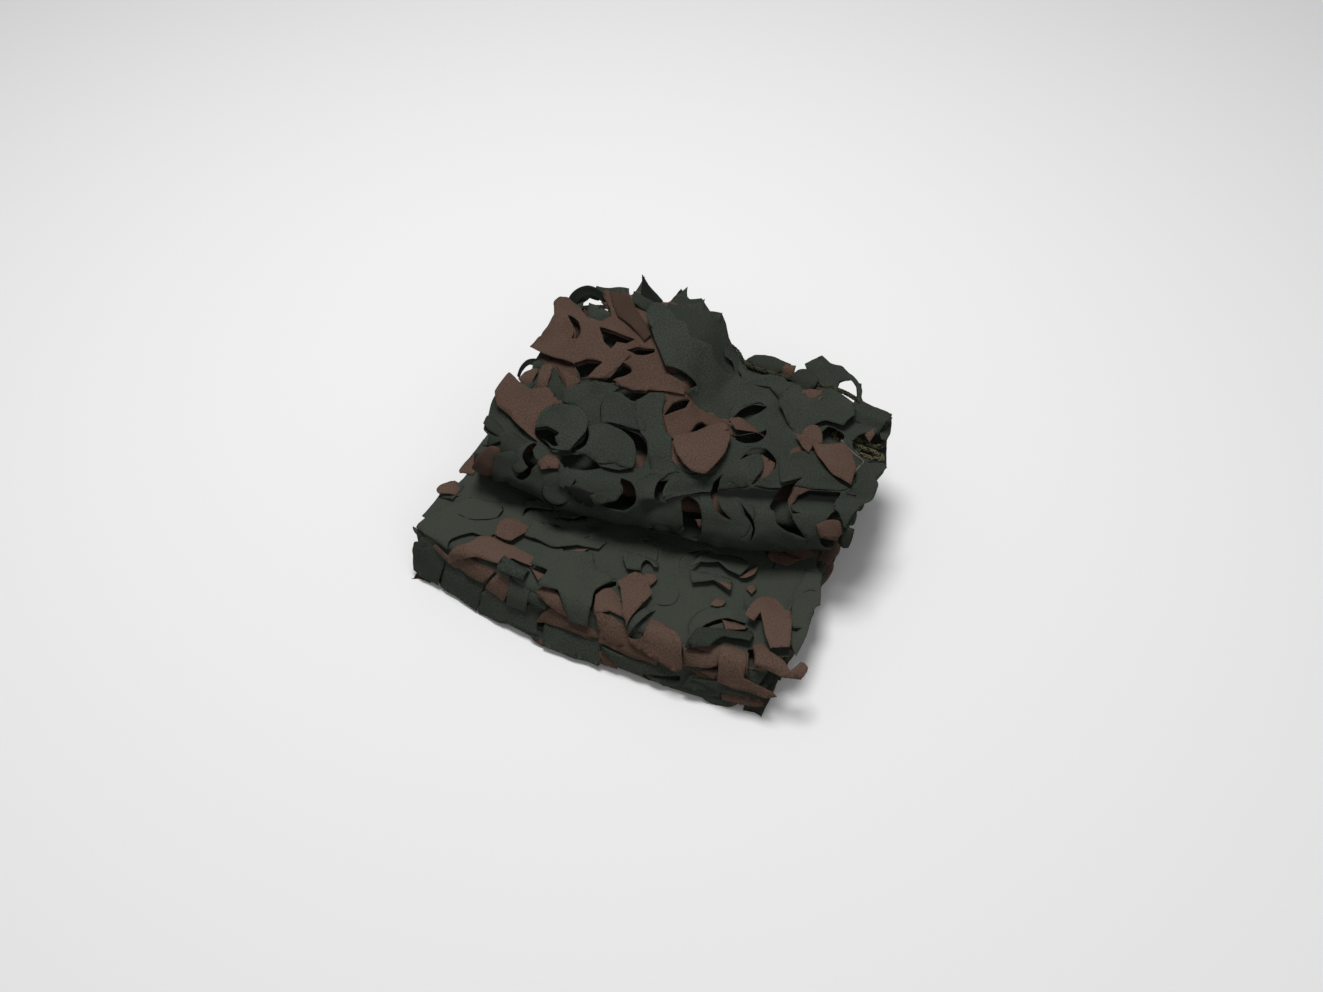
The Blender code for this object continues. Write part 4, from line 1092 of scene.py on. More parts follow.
    ("disc_right", "low_5", 37, 20, 1, 8.0, 2.2, None, (
        (-19, 10, 1), (-7, 28, 1), (3, 28, 1), (11, 22), (19, 12), (11, -27, -1), (3, -23), (-11, 2, -1),
    )),
    ("edge_flap_a", "low_5", 29, 65, -1, 5.2, 2.4, 100, (
        (-19, -3), (-17, 15), (1, 9), (17, 7), (19, 1), (15, -1, -1), (5, 3, -2), (5, -11), (-9, -15),
    )),
    ("edge_brown_a", "low_5", 44, 52, 1, 3.8, 1.6, 100, (
        (-8, 8, 1), (2, 10, 1), (8, 2, 1), (4, -10), (-4, -4),
    )),
    ("brown_arc", "low_5", 33, -16, 1, 6.2, 1.6, 60, (
        (-19, 9), (-7, 14, 1), (5, 8, 1), (15, -3), (19, -5), (7, -13), (-9, -7),
    )),
    ("wing_green", "low_5", 103, 103, -1, 6.0, 1.6, 100, (
        (-27, -23, 1), (-19, -11, 1), (-3, -3), (9, -9), (23, -11), (27, 7), (7, 23), (-19, 7),
    )),
    ("wing_brown", "low_5", 132, 104, 1, 5.0, 1.8, 150, (
        (-6, -14), (-4, 0, 1), (4, 14, 1), (6, -2, 1), (0, -12),
    )),
    ("tongue_green", "low_5", 101, 78, -1, 6.2, 1.6, 100, (
        (-23, 0), (-15, -14), (3, -2), (23, -10), (19, 8), (1, 14),
    )),
    ("tongue_brown", "low_5", 115, 76, 1, 7.0, 1.4, 90, (
        (-9, 0), (1, 8), (5, 6, 1), (9, -8),
    )),
    ("brown_curve", "low_5", 118, 55, 1, 3.8, 1.4, 80, (
        (-6, -9), (-4, 9, -1), (6, 9), (6, -3, 1), (0, -9),
    )),
    ("small_brown_b", "low_5", 141, 83, 1, 4.0, 1.4, 60, (
        (-5, -3), (3, 9), (5, -1), (3, -9),
    )),
    ("brown_near_roll", "low_5", 158, 136, 1, 4.2, 1.4, 90, (
        (-16, -6), (-18, 4), (6, 12), (18, 8), (14, -2), (6, -12, 1), (-12, -10),
    )),
    ("green_ridge", "low_5", 58, 8, -1, 5.6, 2.0, 80, (
        (0, 20), (10, 20), (6, 8), (0, -10), (-10, -21), (-10, -15),
    )),
    ("arch_brown", "low_5", 142, 30, 1, 5.2, 1.4, 90, (
        (-14, 4), (-2, 8), (14, 8), (10, -2), (-6, -8),
    )),
    ("arch_flap", "low_5", 135, 15, -1, 8.2, 2.0, 90, (
        (-27, -21, 1), (-23, -3), (-1, 7), (7, 15), (21, 21), (27, 11), (27, -3), (3, -3, -1), (-5, -17),
    )),
    ("tall_flap", "low_5", 173, 48, 1, 9.8, 2.0, 70, (
        (-25, -8, 1), (-21, 20, 1), (-13, 34), (9, 40), (11, 28), (19, -4), (25, -32), (13, -38, -1),
        (9, -40), (-1, -24), (-13, 2), (-15, -12),
    )),
    ("corner_strip", "low_5", 191, 10, 1, 7.0, 1.6, 110, (
        (-29, 10), (-23, 18), (-9, -2), (9, -11), (15, -14, -1), (21, -6, 1), (27, -8, 2), (29, -15, 1),
        (25, -17), (11, -18), (-19, -15),
    )),
    ("small_lobe", "low_5", -191, 59, 1, 4.6, 1.4, 30, (
        (-13, -9, 2), (-9, 5, 2), (3, 13, 2), (13, 9), (9, -3), (-7, -13, 1),
    )),
    ("right_edge_green", "low_5", 196, 70, -1, 3.2, 1.2, None, (
        (-6, -24), (-14, 20), (-12, 58), (4, 58), (14, 16, -1), (10, 8), (12, -28), (10, -58), (-2, -40),
    )),
    ("left_bump", "low_5", -189, -22, -1, 3.0, 1.2, 0, (
        (-11, 8, 1), (-16, 2, 1), (-17, -10, 1), (-11, -20, 1), (12, -22), (14, 10),
    )),
    # the draped front
    ("front_panel_1", "low_5", -178, -22, -1, 0.6, 0.6, 90, (
        (-24, 20), (26, 20), (22, -22, 1), (4, -26, -1), (-20, -20, 1),
    )),
    ("front_panel_2", "low_5", -120, -26, -1, 0.6, 0.6, 90, (
        (-32, 22), (34, 22), (30, -18, 1), (8, -24, -1), (-14, -20, 1), (-30, -24),
    )),
    ("front_panel_3", "low_5", -52, -28, -1, 0.6, 0.6, 90, (
        (-34, 22), (36, 22), (34, -22), (10, -26, -1), (-8, -18, 1), (-30, -22),
    )),
    ("front_panel_4", "low_5", 18, -26, -1, 0.6, 0.6, 90, (
        (-34, 20), (34, 20), (30, -24, 1), (12, -20), (-6, -26, -1), (-32, -20, 1),
    )),
    ("front_panel_5", "low_5", 86, -28, -1, 0.6, 0.6, 90, (
        (-36, 22), (36, 22), (36, -20), (14, -26, -1), (-10, -22), (-34, -24, 1),
    )),
    ("front_panel_6", "low_5", 152, -26, -1, 0.6, 0.6, 90, (
        (-34, 20), (36, 20), (32, -24, 1), (10, -20), (-12, -26, -1), (-32, -22),
    )),
    ("brown_strip_c", "low_5", 10, -28, 1, 5.0, 1.4, 80, (
        (-52, 3), (-44, 12), (-22, 8), (2, 7), (14, 6), (34, 0), (58, 0), (58, -5), (16, -1), (-20, -3),
        (-46, -5), (-58, -11),
    )),
    ("panel_c", "low_5", -3, -44, -1, 5.8, 1.4, 80, (
        (-35, 9), (-9, 12), (27, 13), (35, -7), (33, -10), (-29, -13),
    )),
    ("brown_slip", "low_5", 40, -45, 1, 4.0, 1.4, 80, (
        (-10, 5), (6, 8), (10, -6), (-8, -8),
    )),
    ("panel_slip", "low_5", 38, -35, -1, 5.0, 1.4, 80, (
        (-10, 3), (8, 4), (10, -2), (-8, -4),
    )),
    ("panel_e", "low_5", 69, -39, -1, 4.6, 1.4, 80, (
        (-41, 8), (-21, 6), (19, 8), (37, 9), (41, 5), (41, -3), (3, -8), (-19, -9),
    )),
    ("brown_leaf", "low_5", 81, -5, 1, 7.6, 2.0, 90, (
        (-17, 15, 1), (-17, 21, 1), (-11, 19), (11, 7), (23, 1, 1), (31, -18), (27, -21), (-25, -12),
        (-31, -7, -1), (-15, -3, -1),
    )),
    ("brown_strip_d", "low_5", 53, -16, 1, 5.0, 1.4, 80, (
        (-35, 9), (-23, 15), (-9, 8), (1, -2), (35, -8), (33, -15), (-1, -15), (-29, -12),
    )),
    ("brown_strip_e", "low_5", 125, -14, 1, 5.4, 1.4, 80, (
        (-19, 8), (15, 11), (19, 3, 1), (-13, -10),
    )),
    ("foot_leaf", "low_5", 136, -36, -1, 4.4, 1.4, 80, (
        (-18, -10, 1), (-12, 8, 1), (-2, 10), (14, 7), (18, -3), (0, -8),
    )),
    ("foot_brown", "low_5", 138, -21, 1, 4.0, 1.4, 80, (
        (-10, -3), (6, 6), (10, 0), (6, -6),
    )),
    ("brown_tab", "low_5", 172, -10, 1, 9.0, 1.8, 80, (
        (-34, 14), (-26, 20), (-10, 18), (-4, -3), (10, -8), (28, -10), (34, -14), (26, -19), (-4, -17),
        (-24, -15),
    )),
    ("brown_tube", "low_5", 167, -2, 1, 6.6, 2.0, 80, (
        (-5, 10), (-1, 10), (5, -9), (1, -10),
    )),
    ("panel_d", "low_5", 160, -34, -1, 4.2, 1.4, 80, (
        (-38, 0), (-12, 5), (12, 5), (38, 4), (38, -2), (-4, -6),
    )),
    ("brown_foot", "low_5", 178, -42, 1, 4.6, 1.4, 80, (
        (-22, 3), (-10, 6), (22, -2), (18, -6), (-18, -6),
    )),
    ("brown_foot_b", "low_5", 37, -45, 1, 4.4, 1.4, 80, (
        (-11, 5), (9, 7), (11, -5, 1), (-7, -7),
    )),
)
# Holes through the cloth. Each row holds its name, the stretch and its middle as above, the height up to
# which the plies there are cut through as well, and its corners.
HOLE_COLUMNS = ("name", "stretch", "across", "along", "level", "corners")
HOLES = (
    ("rear_leaf_edge", "top", -174, 164, 7, (
        (-16, 18, 1), (2, 10, 1), (14, -4, 1), (16, -16), (10, -18), (6, -6, -1), (-4, 6),
    )),
    ("rear_lens", "top", -117, 155, 7, (
        (-23, 11), (-9, 9), (23, 5), (15, -1), (3, -1), (1, -11), (-11, -5),
    )),
    ("rear_lens_b", "top", -83, 152, 7, (
        (-15, -6), (-5, 2), (13, 6, 1), (15, 2), (7, -2), (-3, -6),
    )),
    ("rear_gap_a", "top", -133, 116, 7, (
        (-15, 2), (-5, 10, 1), (15, 12), (11, 4), (7, -8), (-1, -12), (-7, -4),
    )),
    ("rear_gap_b", "top", -99, 121, 7, (
        (-17, -13), (-7, -5), (-1, 5, -1), (3, 13), (13, 11, 1), (17, 7, 1), (5, -3), (-1, -9),
    )),
    ("rear_gap_c", "top", -75, 110, 7, (
        (-17, -2), (-9, 2), (5, 2), (17, 6), (13, -4), (5, -6), (-5, -4),
    )),
    ("ridge_lens", "top", -24, 166, 9, (
        (-12, -8), (-4, 0, 1), (6, 8), (12, 6), (-2, -8),
    )),
    ("brown_gap_a", "top", -20, 112, 5, (
        (-8, -14), (-6, 2, 1), (8, 14), (8, 4), (-6, -14),
    )),
    ("brown_gap_b", "top", 17, 95, 5, (
        (-9, -15), (-9, 3, 1), (-5, 15), (9, 9), (-3, 1), (-5, -11),
    )),
    ("arc_gap", "top", 53, 140, 5, (
        (-15, -20), (-11, 2, 1), (-1, 16, 1), (15, 20), (11, 8), (3, -14),
    )),
    ("round_gap", "top", 91, 68, 5, (
        (-19, 0), (-13, 18, 1), (1, 26, 1), (17, 14, 2), (19, -8, 1), (5, -26), (9, -10, -1), (5, 8, -1),
        (-3, 16, -1),
    )),
    ("corner_gap", "top", 151, 135, 7, (
        (-13, 3), (-9, 17, 1), (7, 15, 1), (13, 7, 1), (5, -15), (-1, -17),
    )),
    ("cord_notch", "top", 196, 159, 0, (
        (-24, -17), (-10, -29), (4, -43), (22, -57), (24, -49), (8, 57), (-4, 21), (0, -1), (-10, -7),
    )),
    ("star_gap", "low_5", 10, 12, 4.5, (
        (6, 22), (-4, 12), (-8, 0), (-6, -13), (-2, -21), (4, -23), (0, -15), (-4, -4), (0, 8), (8, 18),
    )),
    ("panel_gap_a", "low_5", -42, -44, 8, (
        (-6, 6), (2, 8), (6, -8), (-2, -4),
    )),
    ("panel_gap_b", "low_5", 129, -20, 12, (
        (-17, -2), (-3, 2), (15, 6), (17, 2), (-1, -2), (-15, -6),
    )),
    ("panel_gap_c", "low_5", 169, -2, 9.2, (
        (-7, 10), (-3, 12), (3, 0), (7, -12), (1, -10),
    )),
    ("right_spot", "low_5", 196, 46, 5, (
        (-6, 4), (-2, 0), (6, 4), (2, -4), (-4, -4),
    )),
    ("foot_gap_a", "low_5", 94, -44, 5, (
        (-20, -2), (-2, 2), (18, 6), (20, 1), (0, -3), (-16, -6),
    )),
    ("foot_gap_b", "low_5", 173, -42, 4.2, (
        (-21, 2), (1, 4), (21, 3), (21, -5), (-1, -4), (-17, -2),
    )),
    ("roll_gap_h", "top", -91, 16, 1, (
        (-29, 4), (-9, 10), (15, 12), (29, 6), (15, -4), (-7, -12),
    )),
    ("roll_gap_i", "roll", -67, 50, 3, (
        (-19, 4), (1, 6), (17, 4), (19, -6), (1, -4),
    )),
    ("low_crescent_a", "low_5", -147, 48, 1, (
        (-21, -16), (-7, -14), (7, -6), (17, 6), (17, 18), (21, 14), (21, 4), (9, -10), (-5, -18),
    )),
    ("low_crescent_b", "low_5", -60, 95, 1, (
        (-14, -7), (2, -1), (12, 9), (14, 3), (4, -5), (-12, -9),
    )),
    ("low_border_line", "low_5", -188, 17, 1, (
        (-6, -17), (-6, -5), (0, 9), (6, 19), (6, 13), (2, 5), (0, -9), (-2, -19),
    )),
    ("arch_line", "low_5", 130, 18, 5, (
        (-20, -21), (-18, -4, 1), (-12, 8, 1), (2, 20), (20, 22), (20, 18), (4, 16), (-8, 6, -1),
        (-14, -6, -1), (-16, -21),
    )),
    ("tip_hole", "top", 141, 225, 7, (
        (-11, -7), (-13, 9, 1), (-3, 23), (7, 13), (13, -1), (13, -23), (-3, -19),
    )),
    ("disc_edge", "top", -98, 46, 7, (
        (-6, 18), (2, 8, 1), (8, -8, 1), (0, -16), (-8, -18), (0, -4, -1), (-2, 8, -1),
    )),
    ("disc_hollow", "top", -135, 29, 9, (
        (-17, 3), (-5, 9), (11, 9, 1), (9, 5, -1), (17, -1), (9, -9), (-5, -7), (-15, -3),
    )),
    ("lens_edge", "top", -54, 51, 7, (
        (-32, 19), (-8, 21), (10, 19, 1), (26, 7, 1), (32, -7), (32, -19), (26, -21), (22, -11, -1),
        (12, 5, -1), (-10, 17),
    )),
    ("loop_gap", "roll", -138, 71, 5, (
        (-10, -7, 1), (-12, 3, 1), (-8, 15), (-4, 13), (-4, 5), (2, -1), (12, -5), (6, -15, 1),
    )),
    ("band_gap", "roll", -95, 88, 5, (
        (-31, -12), (-9, 8), (9, 12), (25, 8), (31, 4), (17, 0), (-7, -8),
    )),
    ("roll_gap_a", "roll", -25, 65, 5, (
        (-11, 19), (1, 15, 1), (15, -1, 1), (19, -11, 1), (11, -19), (-3, -19), (-19, -17), (-1, -11, -1),
        (1, -1, -1), (-7, 9),
    )),
    ("roll_gap_b", "roll", 16, 82, 5, (
        (4, 22), (-6, 18), (-12, 6, 1), (-8, -14, 1), (-2, -20), (12, -22), (2, -16, -1), (-2, -4, -1),
        (-2, 14),
    )),
    ("roll_gap_c", "roll", 55, 49, 1, (
        (-17, 17), (-13, 25, 1), (-1, 21, 1), (11, 7, 1), (17, -11), (13, -25, 1), (-3, -23), (-1, -11),
        (-9, 5),
    )),
    ("roll_gap_d", "roll", 77, 88, 5, (
        (-13, 28), (-19, 16, 1), (-15, -2, 1), (-1, -22, 1), (19, -28), (5, -20, -1), (-7, -4, -1),
        (-13, 16, -1),
    )),
    ("roll_gap_e", "roll", 106, 64, 5, (
        (-16, 24), (2, 8, 1), (16, -10, 1), (16, -24), (14, -10, -1), (0, 4, -1),
    )),
    ("roll_gap_f", "roll", 149, 86, 5, (
        (-5, 42), (-21, 32, 1), (-25, 10, 1), (-9, -26, 1), (11, -36), (25, -42), (5, -22, -1), (-9, 8, -1),
        (-11, 26, -1),
    )),
    ("roll_gap_g", "roll", 32, 31, 5, (
        (-20, -7), (-8, 7, 1), (6, 5), (20, -7), (10, -7), (-8, -7),
    )),
    ("pad_line_a", "low_5", -148, 51, 5, (
        (-20, -19), (-6, -19, 1), (8, -13, 1), (18, -1, 1), (20, 11, 1), (14, 19, 1), (18, 15), (18, 1, -1),
        (8, -11, -1), (-8, -19, -1),
    )),
    ("pad_line_b", "low_5", -93, 82, 5, (
        (-13, -16), (-17, -4, 1), (-13, 2), (17, 16), (1, 6), (-11, -2), (-13, -8),
    )),
    ("pad_line_c", "low_5", -62, 93, 5, (
        (-16, -9), (6, 1), (16, 9), (10, 1), (0, -3),
    )),
    ("arch_hole", "top", -161, 197, 0, (
        (-19, -3), (-25, 15), (-21, 23), (-7, 19), (3, 11), (21, -7), (25, -15), (19, -23), (-1, -17),
    )),
)
# Narrow bands of cloth that stand up where the cloth beside them is cut away. Each row holds its name, its
# print, the way it faces and its middle line: x, y, z and the band's width there.
BAND_COLUMNS = ("name", "print", "facing", "line")
BANDS = (
    ("arch", -1, (-0.25, -0.75, 0.6), (
        (-175, 160, 122, 12.2), (-178, 165, 131, 14.3), (-174, 170, 138, 13.3), (-163, 174, 144, 12.2),
        (-150, 174, 143, 9.5), (-139, 170, 140, 7.7), (-130, 164, 133, 6.0),
    )),
    ("ring", -1, (-0.4, -0.7, 0.6), (
        (-190, 56, 101, 4.5), (-187, 60, 111, 6.0), (-181, 66, 118, 6.7), (-173, 72, 116, 7.0),
        (-170, 74, 112, 4.5), (-177, 66, 106, 2.5), (-184, 56, 107, 2.1),
    )),
    ("spike", -1, (0.3, -0.8, 0.5), (
        (-83, 172, 151, 26.2), (-93, 182, 154, 19.6), (-101, 190, 161, 7.7), (-108, 197, 169, 0.6),
    )),
    ("cord_edge", -1, (0.1, -0.7, 0.7), (
        (4, 170, 123, 2.5), (15, 172, 115, 2.9), (26, 174, 105, 2.9), (39, 175, 97, 2.9),
        (54, 176, 94, 2.5),
    )),
)
# How many lines of points a band has across it, how much it is cupped as a share of its width, the steps
# along it, how far apart the bands lie in the UV map, and their shade, a painted shade that darkens them as
# if they stood in shadow.
BAND_SIDES = 5
BAND_CUP, BAND_STEP, BAND_APART, BAND_PAINTED_SHADE = 0.12, 2.4, 60.0, -1.05
# The plies that are darker or paler than the rest, as shares of the way from dark to light. The darkness of
# arch_flap, tab_a, crescent_lining, corner_floor, left_bump, left_edge_b and left_edge_c, and of the dark
# sheet at the roll's left end, is painted shade, for plies that lie in shadow; that of mid_brown is a painted
# shadow cast by the ply above it.
PLY_SHADES = {
    "back_green": -0.30, "front_green": 0.12, "fold_green": -0.20, "mid_brown": -0.40, "brown_lip": -0.45,
    "brown_side": -0.35, "rear_fold": -0.75, "tab_a": -0.8, "arch_flap": -1.3, "roll_hollow": -1.25,
    "left_leaf": -0.35, "brown_arc": -0.35, "brown_strip_d": -0.30, "lens_leaf": -0.15, "pink_disc": -0.30,
    "brown_near_roll": -0.25, "dark_slip": -0.30, "foot_leaf": -0.40, "panel_d": -0.40, "gap_leaf": -0.45,
    "back_leaf": -0.40, "dark_lobe": -0.35, "rear_back_green": -0.20, "dark_upright_b": -0.35,
    "roll_brown_rim": -0.25, "crescent_lining": -0.9, "left_bump": -0.7, "corner_floor": -0.6,
    "left_edge_b": -0.5, "left_edge_c": -0.4,
}
# How much paler the lower pad's top is, as such a share, from where to where along it, and how much less of
# it its brown plies have.
LOW_5_PALER = 0.75
LOW_5_PALER_IN, LOW_5_PALER_OUT = (-30.0, 0.0), (260.0, 200.0)
LOW_5_BROWN_LESS_PALE = 0.3
# How much darker the roll's face is, a painted shade where it faces down and away from the light, and from
# where to where along it.
ROLL_PAINTED_SHADE = 0.5
ROLL_DARK_IN, ROLL_DARK_OUT = (-20.0, 10.0), (76.0, 56.0)
# The crease between the roll and the top: places across the strip, and how far from the top's start it lies
# there. The cloth in front of it is darker, a painted shade where the crease's shadow falls, by this much
# at the crease and over this reach. The shade fades in across the strip at the crease's left end, and starts
# softly.
TROUGH_ACROSS = (10, 18, 42, 62, 96, 132, 168, 196)
TROUGH_ALONG = (-8, 0, 13, 28, 38, 43, 44, 42)
TROUGH_PAINTED_SHADE, TROUGH_REACH, TROUGH_SOFT = 2.0, 24.0, 2.0
TROUGH_FADES_IN = (-24.0, 6.0)
# The steps along a ply's outline and the spacing of its points.
PLY_STEP = 2.6
PLY_SPACING = 3.6
# How far from its edge a ply curls, how unevenly, in lumps of this size, and how far apart the plies lie in
# the uneven values.
PLY_CURL_REACH = 11.0
PLY_CURL_EVEN, PLY_CURL_UNEVEN, PLY_CURL_LUMPS = 0.55, 0.65, 34.0
PLY_APART = 37.0
# From which share of its length a ply with a root sinks under the cloth, and how deep.
PLY_SINKS_FROM, PLY_ROOT_DEPTH = 0.45, 1.4
# How much a ply leans, and how its lean differs from one ply to the next.
PLY_LEAN, PLY_LEAN_TURNS = 0.035, (3.3, 1.9)
# How much a ply's shade differs inside it, in lumps of this size, and from one ply to the next.
PLY_SHADE, PLY_SHADE_LUMPS = 0.08, 60.0
PLY_OWN_SHADE, PLY_SHADE_TURN = 0.10, 2.1
# How much the strip's shade differs, in lumps of this size.
STRIP_SHADE, STRIP_SHADE_LUMPS = 0.10, 90.0
# A ply that lies lower than this is a lining: no hole cuts it.
LINING_BELOW = -1.0
# Leaf tabs along the borders of the levels, on the left side, -1, or the right, 1, and over the back, 0. Each
# row holds the stretch, the side, where the first lies, how far apart they are, how many there are, how far
# they reach past the border, and how far they stand out of the cloth, below 0 towards its other face.
TAB_COLUMNS = ("stretch", "side", "first", "apart", "count", "reach", "above")
TABS = (
    ("top", -1, 24, 46, 4, 11, 1.0),
    ("high_8", -1, 20, 38, 5, 12, -1.0),
    ("high_8", 1, 30, 40, 4, 10, -1.0),
    ("high_7", -1, 36, 42, 4, 10, 1.0),
    ("high_7", 1, 24, 40, 3, 9, 1.0),
    ("high_6", -1, 20, 40, 5, 12, -1.0),
    ("low_5", -1, 60, 46, 5, 11, 1.0),
    ("low_4", -1, 40, 48, 6, 10, -1.0),
    ("low_4", 1, 30, 52, 5, 8, -1.0),
    ("low_3", -1, 24, 50, 6, 9, 1.0),
    ("low_3", 1, 50, 54, 5, 8, 1.0),
    ("low_2", -1, 46, 56, 5, 9, -1.0),
    ("low_2", 1, 30, 60, 5, 8, -1.0),
    ("back_58", 0, -172, 56, 7, 0, -2.4),
)
# How far in a side tab's root runs, where across it starts to hang, how steeply, and where it lies. Over the
# back, a tab's place along and the way its root runs, in degrees.
TAB_ROOT, TAB_HANG_FROM, TAB_DROP = 15.0, 196.0, 0.7
TAB_ACROSS = 198.0
BACK_TAB_ALONG, BACK_TAB_ROOT = 25.0, 90
# How far a tab may lie and lean from its place, its width, its reach as a share of the row's, how many of the
# tabs are brown, and how much they curl for how far they stand out.
TAB_SHAKE, TAB_WIDTH, TAB_REACH, TAB_BROWN_SHARE, TAB_CURL = 6.0, (28.0, 42.0), (0.6, 1.1), 0.32, 1.6
# The outlines of tabs. A corner on a side border holds its shares of the root and the tip, of the lean and
# the width, and its bow. One over the back holds its shares of the width and the lean, its place along and
# its bow.
SIDE_TAB = (
    (-1, 0, 0, -0.40, 0), (0, 0, 0, -0.5, 0), (0, 0.8, 1, -0.25, 1),
    (0, 1, 1, 0.1, 1), (0, 0.2, 0, 0.5, 0), (-1, 0, 0, 0.42, 0),
)
BACK_TAB = (
    (-0.3, 0, 18, 0), (-0.5, 0, 2, 1), (-0.2, 1, -17, 1), (0.1, 1, -20, 1), (0.5, 0, -4, 1), (0.34, 0, 18, 0),
)
TAB_STEP, TAB_SPACING = 4.0, 6.5
# From this far before the lower pad's start, a ply drapes down the front over the folds below. DRAPE_REACH is
# how far before the upper fold that goes on, and DRAPE_FOOT how far back and up the drape's foot is from the
# last fold. Nothing of it lies lower than DRAPE_LOWEST.
DRAPE_FROM, DRAPE_REACH = 10.0, 120.0
DRAPE_FOLDS = ("front_23", "front_01")
DRAPE_FOOT = (-6.0, -20.0)
DRAPE_LOWEST = 0.6


def draped(across, along, out):
    """The folded form for a ply: past the lower pad's front edge it drapes down the front over the folds."""
    edge = flat_start("low_5") - DRAPE_FROM
    first = flat_start("front_45")
    over = np.where((along < edge) & (along > first - DRAPE_REACH))[0]
    points = folded(across, along, out)
    if not len(over):
        return points
    u, o, left = across[over], out[over], edge - along[over]
    path = [folded(u, np.full(len(u), edge), o)]
    for name in DRAPE_FOLDS:
        length = next(part["length"] for part in STRETCHES if part["name"] == name)
        path.append(folded(u, np.full(len(u), flat_start(name) + length / 2.0), o))
    foot = path[-1].copy()
    foot[:, 1] += DRAPE_FOOT[0]
    foot[:, 2] += DRAPE_FOOT[1]
    path.append(foot)
    reached = path[0].copy()
    for a, b in zip(path, path[1:]):
        length = np.linalg.norm(b - a, axis=1)
        reached += (b - a) * np.clip(left / length, 0.0, 1.0)[:, None]
        left = np.maximum(left - length, 0.0)
    reached[:, 2] = np.maximum(reached[:, 2], DRAPE_LOWEST)
    points[over] = reached
    return points


def drawn_rows(table, columns, step):
    """The rows of a table of plies or holes as dicts, with their outlines on the flat strip."""
    rows = rows_of(table, columns)
    for drawn in rows:
        middle = np.array([drawn["across"], flat_start(drawn["stretch"]) + drawn["along"]], float)
        corners = np.array([corner[:2] for corner in drawn["corners"]], float)
        after = np.roll(corners, -1, axis=0)
        way = 1.0 if (corners[:, 0] * after[:, 1] - corners[:, 1] * after[:, 0]).sum() > 0.0 else -1.0
        outline = []
        for a, b, corner in zip(corners, after, drawn["corners"]):
            side = b - a
            length = float(np.linalg.norm(side))
            outward = np.array([side[1], -side[0]]) / length * way
            bow = corner[2] if len(corner) > 2 else 0.0
            count = max(1, round(length / step))
            for i in range(count):
                t = i / count
                outline.append(tuple(middle + a + side * t + outward * bow * 4.0 * t * (1.0 - t)))
        drawn["outline"] = outline
        drawn["middle"] = middle
    return rows


def tab_rows():
    """The leaf tabs as rows of plies, each with its own width, lean and print."""
    chance = random.Random(SEEDS["tabs"])
    rows = []
    for tab in rows_of(TABS, TAB_COLUMNS):
        side, root, above = tab["side"], TAB_ROOT * tab["side"], tab["above"]
        for k in range(tab["count"]):
            spot = tab["first"] + tab["apart"] * k + shake(chance, TAB_SHAKE)
            wide, lean = chance.uniform(*TAB_WIDTH), shake(chance, TAB_SHAKE)
            tip = tab["reach"] * chance.uniform(*TAB_REACH) * side
            tint = 1 if chance.random() < TAB_BROWN_SHARE else -1
            if side:
                across, along, turn = TAB_ACROSS * side, spot, None
                corners = [
                    (root * inward + tip * outward, lean * leans + wide * share, bow)
                    for inward, outward, leans, share, bow in SIDE_TAB
                ]
            else:
                across, along, turn = spot, BACK_TAB_ALONG, BACK_TAB_ROOT
                corners = [(lean * leans + wide * share, at, bow) for share, leans, at, bow in BACK_TAB]
            name = "tab_{}_{}_{}".format(tab["stretch"], side, k)
            rows.append((name, tab["stretch"], across, along, tint, above, TAB_CURL * above, turn, corners))
    return rows


def hanging(across, out, up):
    """A tab past the cloth's border hangs down from it."""
    over = np.maximum(np.abs(across) - TAB_HANG_FROM, 0.0)
    return across - np.sign(across) * over * (1.0 - TAB_DROP), out - over * TAB_DROP * up


# How far out from its chord a leaf's middle is, as a share of its depth.
LEAF_MIDDLE = 0.6


def leaf_middle(leaf):
    """The middle of a leaf on the flat strip."""
    turn = math.radians(leaf["turn"])
    reach = leaf["depth"] * LEAF_MIDDLE
    return (leaf["across"] + math.cos(turn) * reach, leaf["along"] + math.sin(turn) * reach)


# The leaves of the top and the roll that stay as they are cut, by their rows in LEAVES. Another ply or a hole
# stands for the rest, and they are laid down, as are these of the lower pad.
KEPT_LEAVES = (12, 13, 17, 20, 22, 23, 24, 29, 30)
LOWER_LAID_LEAVES = (39, 40, 41, 42, 43)
# The lift and the gap of a leaf that is laid down, and how much of its lift and how wide a gap another one of
# the lower pad keeps.
LAID_LIFT, LAID_GAP = 0.2, 0.4
LOW_5_LIFT_SHARE, LOW_5_GAP = 0.5, 1.6


def settle_leaves(leaves, plies):
    """Lay the leaves down that other plies or holes stand for, and the lower pad's other ones a little."""
    for leaf in leaves:
        spot = np.array([leaf_middle(leaf)])
        covered = any(ply["above"] > 0.0 and inside_outline(spot, ply["outline"])[0] for ply in plies)
        if leaf["row"] is not None and leaf["stretch"] in ("top", "roll") and leaf["row"] not in KEPT_LEAVES:
            covered = True
        if covered or leaf["row"] in LOWER_LAID_LEAVES:
            leaf["lift"], leaf["gap"] = LAID_LIFT, LAID_GAP
        elif leaf["stretch"] == "low_5" and leaf["row"] is not None:
            leaf["lift"], leaf["gap"] = leaf["lift"] * LOW_5_LIFT_SHARE, LOW_5_GAP


def share_between(along, start, rising, falling):
    """0 to 1 and back to 0 along the strip, over two ranges measured from a place on it."""
    risen = smooth(along, start + rising[0], start + rising[1])
    return risen * smooth(along, start + falling[0], start + falling[1])


